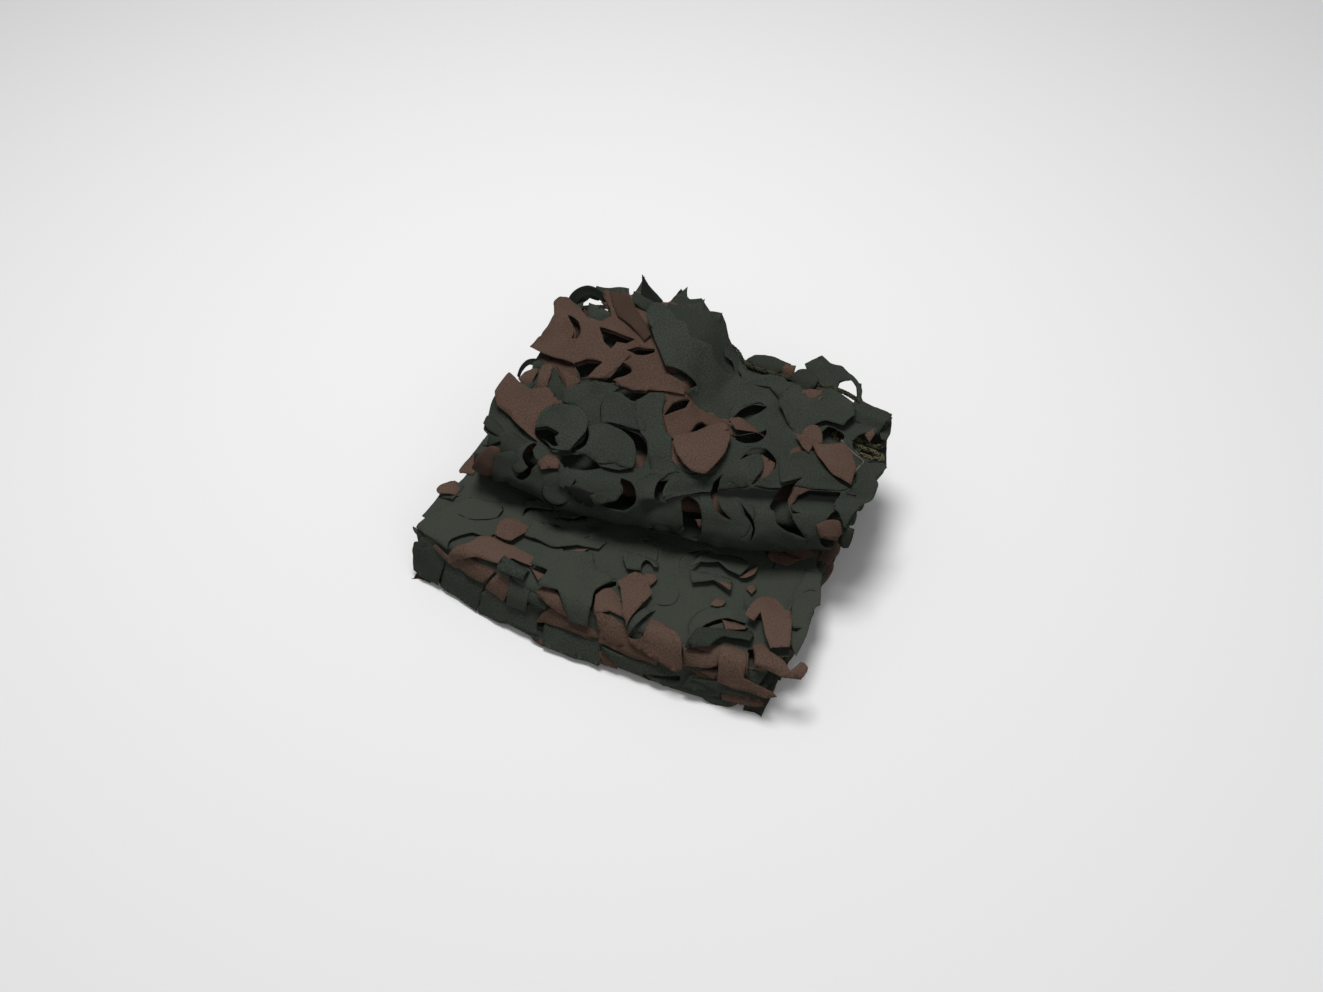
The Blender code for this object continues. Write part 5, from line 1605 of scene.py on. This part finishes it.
def paler(along):
    """How much paler the cloth is: the lower pad's top is paler, and the roll's face is darker, a painted
    shade.
    """
    weight = share_between(along, flat_start("low_5"), LOW_5_PALER_IN, LOW_5_PALER_OUT)
    in_roll = share_between(along, flat_start("roll"), ROLL_DARK_IN, ROLL_DARK_OUT)
    return LOW_5_PALER * weight - ROLL_PAINTED_SHADE * in_roll


def trough_painted_shade(points):
    """The painted shade, below 0, of the cloth just in front of the crease between the roll and the top."""
    across, behind = points[:, 0], points[:, 1] - flat_start("top")
    off = np.interp(across, TROUGH_ACROSS, TROUGH_ALONG) - behind
    begun = smooth(across, TROUGH_ACROSS[0] + TROUGH_FADES_IN[0], TROUGH_ACROSS[0] + TROUGH_FADES_IN[1])
    return -TROUGH_PAINTED_SHADE * begun * smooth(off, -TROUGH_SOFT, TROUGH_SOFT) * smooth(off, TROUGH_REACH, 0.0)


def relief(points, along):
    """How far crumples and creases lift the cloth."""
    share = seen_share(along)
    height = creases(points)
    for size, lift in CRUMPLES:
        height += smooth_noise(points, size, int(size)) * lift * share
    return height


def closeness(points, lines, reach):
    """1 at the lines and less away from them, down to 0 at the reach and past it."""
    edge = np.full(len(points), reach)
    for line in lines:
        edge = np.minimum(edge, distance_to(points, line, reach))
    return (1.0 - edge / reach) ** 2


def cuts_through(outline, level, holes):
    """The outlines of the holes that cut a ply that lies at this height."""
    found = []
    for hole in holes:
        line = hole["outline"]
        meet = inside_outline(np.array(line), outline).any() or inside_outline(np.array(outline), line).any()
        if level <= hole["level"] and meet:
            found.append(even_steps(line, CUT_STEP))
    return found


def ply_cloth(ply, holes, number, spacing):
    """One ply: its points, triangles, flat places, brown field and shade."""
    outline = np.array(ply["outline"])
    low, high = outline.min(axis=0), outline.max(axis=0)
    across, along = np.meshgrid(
        np.arange(low[0] + GRID_MARGIN, high[0], spacing), np.arange(low[1] + GRID_MARGIN, high[1], spacing)
    )
    grid = np.stack([across.ravel(), along.ravel()], axis=1)
    grid[:, 0] += spacing / 2.0 * (np.round((grid[:, 1] - low[1]) / spacing) % 2)
    grid = grid[inside_outline(grid, ply["outline"])]
    cuts = cuts_through(ply["outline"], ply["above"], holes) if ply["above"] > LINING_BELOW else []
    flat, faces = cut_cloth(grid, ply["outline"], cuts)
    across, along = flat[:, 0].copy(), flat[:, 1].copy()
    close = closeness(flat, [ply["outline"]] + cuts, PLY_CURL_REACH)
    lumps = smooth_noise(flat + PLY_APART * number, PLY_CURL_LUMPS, SEEDS["ply_curl"])
    height = ply["above"] + close * ply["curl"] * (PLY_CURL_EVEN + PLY_CURL_UNEVEN * lumps)
    if ply["root"] is not None:
        turn = math.radians(ply["root"])
        reach = (flat - ply["middle"]) @ np.array([math.cos(turn), math.sin(turn)])
        sunk = smooth(reach, reach.min() + PLY_SINKS_FROM * (reach.max() - reach.min()), reach.max())
        height = height * (1.0 - sunk) - PLY_ROOT_DEPTH * sunk
    turns = PLY_LEAN_TURNS
    lean = np.array([math.sin(turns[0] * number), math.cos(turns[1] * number)]) * PLY_LEAN
    out = relief(flat, along) + height + (flat - ply["middle"]) @ lean * (ply["above"] > 0.0)
    shade = smooth_noise(flat, PLY_SHADE_LUMPS, SEEDS["ply_shade"] + number) * PLY_SHADE
    shade += PLY_OWN_SHADE * math.sin(PLY_SHADE_TURN * number) + paler(along)
    shade += PLY_SHADES.get(ply["name"], 0.0)
    if ply["print"] > 0 and ply["stretch"] == "low_5":
        shade -= LOW_5_BROWN_LESS_PALE
    field = np.full(len(flat), ALL_PATCH * ply["print"])
    if ply["name"].startswith("tab_") and ply["root"] is None:
        across, out = hanging(across, out, math.copysign(1.0, ply["above"]))
    return place(draped(across, along, out)), faces, flat, field, shade


def band_cloth(band, number):
    """One standing band, a little cupped across its width, as ply_cloth gives a ply."""
    rows = np.array(band["line"], float)
    line, reach = smooth_line(rows[:, :3], BAND_STEP)
    lengths = np.concatenate([[0.0], np.cumsum(np.linalg.norm(np.diff(rows[:, :3], axis=0), axis=1))])
    width = np.interp(reach / reach[-1], lengths / lengths[-1], rows[:, 3])
    facing = np.array(band["facing"]) / np.linalg.norm(band["facing"])
    side = np.cross(np.gradient(line, axis=0), facing)
    side /= np.linalg.norm(side, axis=1)[:, None]
    points, flat = [], []
    for i in range(BAND_SIDES):
        share = 2.0 * i / (BAND_SIDES - 1) - 1.0
        cup = facing * (BAND_CUP * width * share ** 2)[:, None]
        points.append(line + side * (share * width / 2.0)[:, None] + cup)
        flat.append(np.stack([share * width / 2.0 + BAND_APART * number, reach], axis=1))
    count = len(line)
    faces = []
    for i in range(BAND_SIDES - 1):
        for j in range(count - 1):
            a, b, c, d = i * count + j, (i + 1) * count + j, (i + 1) * count + j + 1, i * count + j + 1
            faces += [(a, b, c), (a, c, d)]
    points, flat = np.vstack(points), np.vstack(flat)
    field, shade = np.full(len(points), ALL_PATCH * band["print"]), np.full(len(points), BAND_PAINTED_SHADE)
    return place(points), np.array(faces), flat, field, shade


# ------------------------------------------------------------------ making the cloth
def new_object(name, mesh):
    """An object in the scene that holds the mesh, camera or light."""
    made = bpy.data.objects.new(name, mesh)
    bpy.context.scene.collection.objects.link(made)
    return made


def select_only(target):
    """Select one object and make it the active one."""
    bpy.ops.object.select_all(action="DESELECT")
    target.select_set(True)
    bpy.context.view_layer.objects.active = target


def base_cloth(leaves, holes):
    """The strip itself, cut and folded: its points, triangles, flat places, brown field and shade."""
    half = STRIP_WIDTH / 2.0
    end = STRIP_LENGTH + END_MARGIN
    rim = even_steps([(-half, 0.0), (half, 0.0), (half, end), (-half, end)], RIM_STEP)
    cuts = [even_steps(crescent(leaf), CUT_STEP) for leaf in leaves]
    cuts += [even_steps(line, SCALLOP_STEP) for line in scallops()]
    cuts += [even_steps(hole["outline"], CUT_STEP) for hole in holes]
    cuts.append(even_steps(end_cut(), CUT_STEP))
    flat, faces = cut_cloth(strip_grid(), rim, cuts)
    across, along = flat[:, 0].copy(), flat[:, 1].copy()
    out = relief(flat, along)
    uneven = CURL_EVEN + CURL_UNEVEN * smooth_noise(flat, CURL_LUMPS, SEEDS["strip_curl"])
    curl = uneven * np.where(seen_share(along) > SEEN_FROM, CURL_SEEN, CURL_PILE)
    out += closeness(flat, cuts, CURL_REACH) * curl
    out = cup_leaves(flat, out, leaves)
    across, along, out = lift_leaves(across, along, out, leaves)
    out = stand_tips(across, along, out)
    field = brown_field(flat)
    shade = smooth_noise(flat, STRIP_SHADE_LUMPS, SEEDS["strip_shade"]) * STRIP_SHADE
    shade += paler(along) + trough_painted_shade(flat)
    shade_leaves(flat, leaves, shade)
    return place(folded(across, along, out)), faces, flat, field, shade


def make_cloth(name, pieces, materials):
    """One mesh of pieces of thin cloth. Its UV map holds their flat places, its attributes their print and
    their shade, which holds painted shade too.
    """
    points, faces, flats, fields, shades, count = [], [], [], [], [], 0
    for piece_points, piece_faces, flat, field, shade in pieces:
        points.append(piece_points)
        faces.append(piece_faces + count)
        flats.append(flat)
        fields.append(field)
        shades.append(shade)
        count += len(piece_points)
    points, faces, flat = np.vstack(points), np.vstack(faces), np.vstack(flats)
    points[:, 2] = np.maximum(points[:, 2], CLOTH_THICKNESS / 2.0 * MM)
    mesh = bpy.data.meshes.new(name)
    mesh.from_pydata(points.tolist(), [], faces.tolist())
    for label, values in (("brown", fields), ("shade", shades)):
        attribute = mesh.attributes.new(label, "FLOAT", "POINT")
        attribute.data.foreach_set("value", np.concatenate(values).astype(np.float32))
    uv = mesh.uv_layers.new(name="flat")
    corners = np.zeros(len(mesh.loops), int)
    mesh.loops.foreach_get("vertex_index", corners)
    uv.data.foreach_set("uv", (flat[corners] * MM).astype(np.float32).ravel())
    for material in materials:
        mesh.materials.append(material)
    mesh.shade_smooth()
    cloth = new_object(name, mesh)
    solidify = cloth.modifiers.new("thickness", "SOLIDIFY")
    solidify.thickness = CLOTH_THICKNESS * MM
    solidify.offset = 0.0
    solidify.material_offset_rim = 1
    select_only(cloth)
    bpy.ops.object.modifier_apply(modifier=solidify.name)
    return cloth


# ------------------------------------------------------------------ materials
# How much cloth and thread shine.
SHINE = 0.12


def new_material(name):
    """A material for cloth or thread, which hardly shines."""
    material = bpy.data.materials.new(name)
    material.use_nodes = True
    material.node_tree.nodes["Principled BSDF"].inputs["Specular IOR Level"].default_value = SHINE
    return material


def node(tree, kind, **values):
    """A node with its settings; what is named for an input is set on it, and an output is linked to it."""
    made = tree.nodes.new(kind)
    for key, value in values.items():
        if hasattr(made, key):
            setattr(made, key, value)
        elif isinstance(value, bpy.types.NodeSocket):
            tree.links.new(value, made.inputs[key.replace("_", " ")])
        else:
            made.inputs[key.replace("_", " ")].default_value = value
    return made


def noise(tree, where, scale, detail, roughness):
    """Noise from 0 to 1 at a place."""
    made = node(tree, "ShaderNodeTexNoise", Vector=where, Scale=scale, Detail=detail, Roughness=roughness)
    return made.outputs["Fac"]


def maths(tree, operation, first, second=None, third=None):
    """The result of a Math node; each value is a number or another node's output."""
    made = tree.nodes.new("ShaderNodeMath")
    made.operation = operation
    for socket, value in zip(made.inputs, (first, second, third)):
        if value is None:
            continue
        if isinstance(value, (int, float)):
            socket.default_value = value
        else:
            tree.links.new(value, socket)
    return made.outputs[0]


def spread(tree, value, reach):
    """A value from 0 to 1, as one of this reach with 0 in its middle."""
    return maths(tree, "MULTIPLY_ADD", value, reach, -reach / 2.0)


def mixed(tree, share, first, second):
    """A colour between two others, each a colour or another node's output."""
    made = node(tree, "ShaderNodeMix", data_type="RGBA", Factor=share, A=first, B=second)
    return made.outputs["Result"]


def scaled(tree, what, share):
    """A place or a colour times a value."""
    return node(tree, "ShaderNodeVectorMath", operation="SCALE", Vector=what, Scale=share).outputs[0]


def finish_shader(material, colour, roughness, height, strength, distance):
    """Give a material its colour, its roughness and its bumps."""
    tree = material.node_tree
    bump = node(tree, "ShaderNodeBump", Height=height, Strength=strength, Distance=distance)
    shader = tree.nodes["Principled BSDF"]
    tree.links.new(colour, shader.inputs["Base Color"])
    tree.links.new(bump.outputs[0], shader.inputs["Normal"])
    if isinstance(roughness, float):
        shader.inputs["Roughness"].default_value = roughness
    else:
        tree.links.new(roughness, shader.inputs["Roughness"])


# How fine the flecks in the threads are, and how much they stand out of the weave.
FLECK_SCALE, FLECK_HEIGHT = 0.62, 0.5


def weave_group():
    """A plain weave: how high its threads stand and how they tint the cloth, at a place in millimetres."""
    group = bpy.data.node_groups.new("plain_weave", "ShaderNodeTree")
    group.interface.new_socket("Place", in_out="INPUT", socket_type="NodeSocketVector")
    for name, way in (("Thread", "INPUT"), ("Height", "OUTPUT"), ("Fleck", "OUTPUT")):
        group.interface.new_socket(name, in_out=way, socket_type="NodeSocketFloat")
    given = group.nodes.new("NodeGroupInput")
    result = group.nodes.new("NodeGroupOutput")
    split = node(group, "ShaderNodeSeparateXYZ", Vector=given.outputs["Place"])
    waves = []
    for axis in (0, 1):
        turns = maths(group, "DIVIDE", split.outputs[axis], given.outputs["Thread"])
        waves.append(maths(group, "SINE", maths(group, "MULTIPLY", turns, math.pi)))
    crossing = maths(group, "ABSOLUTE", maths(group, "MULTIPLY", waves[0], waves[1]))
    fleck = noise(group, given.outputs["Place"], FLECK_SCALE, 2.0, 0.75)
    height = maths(group, "ADD", crossing, maths(group, "MULTIPLY", fleck, FLECK_HEIGHT))
    group.links.new(height, result.inputs["Height"])
    group.links.new(fleck, result.inputs["Fleck"])
    return group


GREEN, GREEN_LIGHT = (0.0225, 0.0265, 0.0205, 1.0), (0.0430, 0.0495, 0.0390, 1.0)
BROWN, BROWN_LIGHT = (0.0620, 0.0370, 0.0265, 1.0), (0.1020, 0.0650, 0.0480, 1.0)
# The width of the cloth's threads, in millimetres, and how strong and how high their bumps are.
THREAD_WIDTH, WEAVE_BUMP, WEAVE_HEIGHT = 0.55, 0.35, 0.00012
# How far the patches' outlines wobble and how soft they are, in millimetres, and how fine the wobble is.
PRINT_WOBBLE, PRINT_SOFT, WOBBLE_SCALE = 5.0, 0.35, 0.09
# The cloth's tone between dark and light: its middle, and how far blotches and flecks take it.
TONE, TONE_OF_BLOTCHES, TONE_OF_FLECKS = 0.38, 1.3, 5.0
# How fine the blotches are, and how much duller they make the cloth.
BLOTCH_SCALE, DULLER = 0.028, 0.22
# Cloth whose shade is more than this below 0 is darkened as a whole, down to a least share. This carries the
# painted shade of the darkest plies, of the bands and of the cloth in front of the roll's crease.
DARKENS_UNDER, DARKEST = 0.5, 0.25


def cloth_material(name, weave, lighter, rough):
    """Printed cloth: green with crisp brown patches, a fine weave, flecks, lighter places of wear, painted
    shade.
    """
    material = new_material(name)
    tree = material.node_tree
    uv = node(tree, "ShaderNodeUVMap", uv_map="flat")
    flat = scaled(tree, uv.outputs[0], 1.0 / MM)
    threads = node(tree, "ShaderNodeGroup", node_tree=weave, Place=flat, Thread=THREAD_WIDTH)
    brown = node(tree, "ShaderNodeAttribute", attribute_name="brown").outputs["Fac"]
    shade = node(tree, "ShaderNodeAttribute", attribute_name="shade").outputs["Fac"]
    wobble = noise(tree, flat, WOBBLE_SCALE, 3.0, 0.55)
    blotch = noise(tree, flat, BLOTCH_SCALE, 4.0, 0.6)
    inside = maths(tree, "ADD", brown, spread(tree, wobble, PRINT_WOBBLE))
    print_share = node(
        tree, "ShaderNodeMapRange", interpolation_type="SMOOTHSTEP",
        Value=inside, From_Min=-PRINT_SOFT, From_Max=PRINT_SOFT,
    )
    tone = maths(tree, "ADD", spread(tree, blotch, TONE_OF_BLOTCHES), shade)
    tone = maths(tree, "ADD", tone, spread(tree, threads.outputs["Fleck"], TONE_OF_FLECKS))
    tone = maths(tree, "ADD", tone, TONE + lighter)
    greens, browns = mixed(tree, tone, GREEN, GREEN_LIGHT), mixed(tree, tone, BROWN, BROWN_LIGHT)
    printed = mixed(tree, print_share.outputs[0], greens, browns)
    kept = maths(tree, "MINIMUM", maths(tree, "ADD", shade, 1.0 + DARKENS_UNDER), 1.0)
    kept = maths(tree, "MAXIMUM", kept, DARKEST)
    print_in_painted_shade = scaled(tree, printed, kept)
    dull = maths(tree, "MULTIPLY_ADD", blotch, DULLER, rough)
    finish_shader(material, print_in_painted_shade, dull, threads.outputs["Height"], WEAVE_BUMP, WEAVE_HEIGHT)
    return material


# ------------------------------------------------------------------ the edge cord and the string
# Their routes lie on the top. Each row holds how far across the strip a place is, how far past the strip's
# raw end, below 0 in front of it, and how high over the middle of the cloth.
ROUTE_COLUMNS = ("across", "behind", "above")
CORD_ROUTE = (
    (-192, -8, -4.8), (-150, -7, -5.4), (-100, -6, -5.8), (-60, -5, -6.0), (-30, -2, -6.0), (-20, 1, -6.0),
    (-11, 3, -4.0), (-4, 4, 0.0), (4, 3, 3.6), (15, -3, 5.0), (60, -6, 4.3), (100, -3, 4.3), (136, 3, 4.3),
    (168, -4, 4.3), (186, -8, 4.3), (195, -14, 1.6), (197, -22, -4.0), (200, -33, -9.6), (203, -45, -12.8),
    (198, -51, -12.8), (156, -51, -12.8), (150, -53, -12.8), (147, -57.5, -12.8), (150, -62, -12.8),
    (156, -64, -12.8), (199, -64.5, -12.8), (206, -67, -12.8), (209, -71.5, -12.8), (206, -76, -12.8),
    (199, -78, -12.8), (156, -76, -12.8),
)
# From this place on, in its short runs, the cord is paler; before it, in its long run, it is darker, a
# painted shade.
SHORT_RUNS_FROM = (203, -45, -12.8)
# The cord's braid: how many strands and which of them are black, how far each one's middle is from the
# cord's, how far it rises and dips and how often in a turn, the length of a turn, the strand's radius, sides
# and steps, and by how many steps its darker part, a painted shade, and its pale part overlap.
CORD_STRANDS, BLACK_STRANDS = 8, (1, 4)
CORD_OFFSET, CORD_WEAVE, CORD_WEAVES, CORD_PITCH = 1.7, 0.35, 2.0, 15.0
CORD_RADIUS, CORD_SIDES, CORD_STEP, CORD_OVERLAP = 0.86, 6, 1.3, 3
# The string's twist, in the same way.
STRING_YARNS = 3
STRING_OFFSET, STRING_PITCH = 0.52, 6.0
STRING_RADIUS, STRING_SIDES, STRING_STEP = 0.56, 7, 0.6
STRING_ROUTE = (
    (162, -82, 2.6), (172, -92, 2.6), (182, -100, 2.6), (190, -106, 2.6), (194, -110, 2.6),
    (194.5, -115, 2.6), (192.5, -124, 2.6), (191, -138, 2.6),
)


def route_points(route):
    """The places of a route's rows, in millimetres."""
    spots = dict(zip(ROUTE_COLUMNS, np.array(route, float).T))
    return folded(spots["across"], STRIP_LENGTH + spots["behind"], spots["above"])


# How far apart a smooth line's points are before they are read evenly.
CURVE_STEP = 0.5


def smooth_line(points, step):
    """A smooth curve through the points, read evenly: its points, and how far along it each one is."""
    ends = np.vstack([2.0 * points[0] - points[1], points, 2.0 * points[-1] - points[-2]])
    curve = [points[0]]
    for before, start, end, after in zip(ends, ends[1:], ends[2:], ends[3:]):
        steps = (start - before, end - start, after - end)
        lengths = [np.linalg.norm(one) for one in steps]
        count = max(2, math.ceil(lengths[1] / CURVE_STEP))
        slope_start = (steps[0] / lengths[0] + steps[1] / lengths[1]) / 2.0 * lengths[1]
        slope_end = (steps[1] / lengths[1] + steps[2] / lengths[2]) / 2.0 * lengths[1]
        for i in range(1, count + 1):
            t = i / count
            curve.append(
                (2.0 * t ** 3 - 3.0 * t ** 2 + 1.0) * start
                + (t ** 3 - 2.0 * t ** 2 + t) * slope_start
                + (3.0 * t ** 2 - 2.0 * t ** 3) * end
                + (t ** 3 - t ** 2) * slope_end
            )
    curve = np.array(curve)
    reach = np.concatenate([[0.0], np.cumsum(np.linalg.norm(np.diff(curve, axis=0), axis=1))])
    even = np.linspace(0.0, reach[-1], max(2, round(reach[-1] / step)))
    return np.stack([np.interp(even, reach, curve[:, i]) for i in range(3)], axis=1), even


def frames_along(line):
    """The direction of a line at each of its points, and two sides square to it that don't spin round it."""
    ahead = np.gradient(line, axis=0)
    ahead /= np.linalg.norm(ahead, axis=1)[:, None]
    side = np.cross(ahead[0], (0.0, 0.0, 1.0))
    sides = []
    for direction in ahead:
        side = side - direction * (side @ direction)
        side /= np.linalg.norm(side)
        sides.append(side)
    sides = np.array(sides)
    return ahead, sides, np.cross(ahead, sides)


def tube(line, radius, sides, taper):
    """Points and faces of a closed round tube along a line, drawn in at its ends."""
    _, right, up = frames_along(line)
    turns = np.arange(sides) / sides * math.tau
    ends = np.ones(len(line))
    for i in range(min(taper, len(line) // 2)):
        ends[i] = ends[-1 - i] = math.sqrt(1.0 - (1.0 - (i + 0.5) / taper) ** 2)
    rings = [
        line[i] + radius * ends[i] * (np.outer(np.cos(turns), right[i]) + np.outer(np.sin(turns), up[i]))
        for i in range(len(line))
    ]
    points = np.vstack(rings)
    faces = []
    for i in range(len(line) - 1):
        for j in range(sides):
            a, b = i * sides + j, i * sides + (j + 1) % sides
            faces.append((a, b, b + sides, a + sides))
    faces.append(tuple(reversed(range(sides))))
    faces.append(tuple(range(len(points) - sides, len(points))))
    return points, faces


def twisted(line, reach, offset, pitch, phase, weave=0.0, weaves=0.0):
    """A strand that winds round a line, and rises and dips as it crosses the others."""
    _, right, up = frames_along(line)
    turn = reach / pitch * math.tau + phase
    away = offset + weave * np.cos(reach / abs(pitch) * math.tau * weaves + phase * weaves)
    return line + right * (np.cos(turn) * away)[:, None] + up * (np.sin(turn) * away)[:, None]


# Over how many steps a strand is drawn in at its ends.
STRAND_TAPER = 3


def make_strands(name, strands, materials):
    """One mesh of several round strands, each with its own material."""
    points, faces, kinds, count = [], [], [], 0
    for line, radius, sides, kind in strands:
        strand_points, strand_faces = tube(line, radius, sides, STRAND_TAPER)
        points.append(strand_points)
        faces += [tuple(count + i for i in face) for face in strand_faces]
        kinds += [kind] * len(strand_faces)
        count += len(strand_points)
    mesh = bpy.data.meshes.new(name)
    mesh.from_pydata(place(np.vstack(points)).tolist(), [], faces)
    for material in materials:
        mesh.materials.append(material)
    mesh.polygons.foreach_set("material_index", kinds)
    mesh.shade_smooth()
    return new_object(name, mesh)


def braided_cord():
    """The edge cord: strands wound both ways that cross over and under, paler in its short runs and darker in
    its long run, a painted shade.
    """
    route = route_points(CORD_ROUTE)
    line, reach = smooth_line(route, CORD_STEP)
    split = int(np.argmin(np.linalg.norm(line - route[CORD_ROUTE.index(SHORT_RUNS_FROM)], axis=1)))
    # The plain strands are the darker olive of the long run, a painted shade.
    plain, dark, pale_run = range(3)
    strands = []
    for k in range(CORD_STRANDS):
        way = 1.0 if k % 2 else -1.0
        phase = math.tau * (k // 2) / (CORD_STRANDS / 2.0)
        path = twisted(line, reach, CORD_OFFSET, way * CORD_PITCH, phase, CORD_WEAVE * way, CORD_WEAVES)
        kinds = (dark, dark) if k in BLACK_STRANDS else (plain, pale_run)
        strands.append((path[: split + CORD_OVERLAP], CORD_RADIUS, CORD_SIDES, kinds[0]))
        strands.append((path[split:], CORD_RADIUS, CORD_SIDES, kinds[1]))
    return strands


# How far patches and fibres take a thread's tone between dark and light, and where that starts.
PATCH_TONE, FIBRE_TONE, LEAST_TONE = 0.8, 0.7, -0.3
# How fine they are, and how strong and how high the fibres' bumps are.
THREAD_PATCH_SCALE, FIBRE_SCALE, FIBRE_BUMP, FIBRE_HEIGHT = 90.0, 1400.0, 0.4, 0.0001


def thread_material(name, dark, light, rough):
    """Spun or braided thread, with fine fibres across its colour."""
    material = new_material(name)
    tree = material.node_tree
    where = tree.nodes.new("ShaderNodeTexCoord").outputs["Object"]
    fibre = noise(tree, where, FIBRE_SCALE, 2.0, 0.6)
    patch = noise(tree, where, THREAD_PATCH_SCALE, 2.0, 0.5)
    tone = maths(tree, "MULTIPLY_ADD", fibre, FIBRE_TONE, LEAST_TONE)
    tone = maths(tree, "MULTIPLY_ADD", patch, PATCH_TONE, tone)
    colour = mixed(tree, tone, (*dark, 1.0), (*light, 1.0))
    finish_shader(material, colour, rough, fibre, FIBRE_BUMP, FIBRE_HEIGHT)
    return material


# ------------------------------------------------------------------ the studio
# The camera: how far round from the front and how far up it is, in degrees, and how far away, its lens and
# the width of its sensor, in millimetres, and where it aims.
CAMERA_AZIMUTH, CAMERA_HEIGHT, CAMERA_DISTANCE = 25.4, 47.0, 1.40
CAMERA_LENS, CAMERA_SENSOR = 36.28, 36.0
CAMERA_TARGET = (0.0042, -0.0044, 0.05)
# The lights: each one's name, place, size and power.
LIGHTS = (
    ("key", (-0.35, 0.35, 2.45), 1.1, 47.0),
    ("fill", (1.6, -1.6, 1.6), 1.6, 6.0),
)
LIGHTS_AIM = (0.0, 0.0, 0.05)
SKY_STRENGTH = 0.26
FLOOR_SIZE, FLOOR_COLOUR, FLOOR_ROUGH = 12.0, (0.865, 0.865, 0.865, 1.0), 0.9


def make_camera():
    """The camera that the frame is seen through."""
    data = bpy.data.cameras.new("camera")
    data.lens = CAMERA_LENS
    data.sensor_width = CAMERA_SENSOR
    camera = new_object("camera", data)
    turn, rise = math.radians(CAMERA_AZIMUTH), math.radians(CAMERA_HEIGHT)
    back = Vector((math.sin(turn) * math.cos(rise), -math.cos(turn) * math.cos(rise), math.sin(rise)))
    camera.location = Vector(CAMERA_TARGET) + back * CAMERA_DISTANCE
    camera.rotation_euler = (-back).to_track_quat("-Z", "Y").to_euler()
    bpy.context.scene.camera = camera


def area_light(name, place_at, aim, size, power):
    """A round light that faces a place."""
    data = bpy.data.lights.new(name, "AREA")
    data.shape = "DISK"
    data.size = size
    data.energy = power
    light = new_object(name, data)
    light.location = place_at
    light.rotation_euler = (Vector(aim) - Vector(place_at)).to_track_quat("-Z", "Y").to_euler()


def make_studio():
    """The pale floor, the even light from all round and the two lights."""
    bpy.ops.mesh.primitive_plane_add(size=FLOOR_SIZE, location=(0.0, 0.0, 0.0))
    floor = bpy.context.active_object
    floor.name = "floor"
    paper = bpy.data.materials.new("paper")
    paper.use_nodes = True
    paper.node_tree.nodes["Principled BSDF"].inputs["Base Color"].default_value = FLOOR_COLOUR
    paper.node_tree.nodes["Principled BSDF"].inputs["Roughness"].default_value = FLOOR_ROUGH
    floor.data.materials.append(paper)
    world = bpy.data.worlds.new("studio")
    world.use_nodes = True
    world.node_tree.nodes["Background"].inputs["Color"].default_value = (1.0, 1.0, 1.0, 1.0)
    world.node_tree.nodes["Background"].inputs["Strength"].default_value = SKY_STRENGTH
    bpy.context.scene.world = world
    for name, place_at, size, power in LIGHTS:
        area_light(name, place_at, LIGHTS_AIM, size, power)
    bpy.context.scene.view_settings.view_transform = "Standard"
    bpy.context.scene.view_settings.look = "None"


# ------------------------------------------------------------------ putting it together
bpy.ops.object.select_all(action="DESELECT")
make_camera()
make_studio()

# The olive of the cord's long run is darker than that of its short runs, a painted shade.
olive = thread_material("cord_olive", (0.026, 0.026, 0.015), (0.070, 0.066, 0.040), 0.75)
pale_olive = thread_material("cord_worn_olive", (0.050, 0.045, 0.021), (0.165, 0.150, 0.076), 0.75)
black = thread_material("cord_black", (0.006, 0.006, 0.006), (0.02, 0.02, 0.018), 0.75)
cord = make_strands("edge_cord_braid", braided_cord(), (olive, black, pale_olive))
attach(cord, "root")
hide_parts("edge_cord")

pale = thread_material("string_pale", (0.066, 0.062, 0.052), (0.165, 0.157, 0.135), 0.8)
string_line, string_reach = smooth_line(route_points(STRING_ROUTE), STRING_STEP)
yarns = []
for k in range(STRING_YARNS):
    yarn = twisted(string_line, string_reach, STRING_OFFSET, STRING_PITCH, math.tau * k / STRING_YARNS)
    yarns.append((yarn, STRING_RADIUS, STRING_SIDES, 0))
string = make_strands("string_end_twine", yarns, (pale,))
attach(string, "root")
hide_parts("string_end")

plain_weave = weave_group()
cloth_face = cloth_material("printed_cloth", plain_weave, 0.0, 0.74)
# The cut edges are paler, which paints a highlight along them.
cloth_edge = cloth_material("cut_edge", plain_weave, 0.35, 0.78)
leaves, holes = leaf_rows(), drawn_rows(HOLES, HOLE_COLUMNS, PLY_STEP)
plies, tabs = drawn_rows(PLIES, PLY_COLUMNS, PLY_STEP), drawn_rows(tab_rows(), PLY_COLUMNS, TAB_STEP)
settle_leaves(leaves, plies)
cloths = [base_cloth(leaves, holes)]
cloths += [ply_cloth(ply, holes, number, PLY_SPACING) for number, ply in enumerate(plies)]
cloths += [ply_cloth(tab, [], number, TAB_SPACING) for number, tab in enumerate(tabs)]
cloths += [band_cloth(band, number) for number, band in enumerate(rows_of(BANDS, BAND_COLUMNS))]
net = make_cloth("net_cloth", cloths, (cloth_face, cloth_edge))
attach(net, "root")
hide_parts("net")
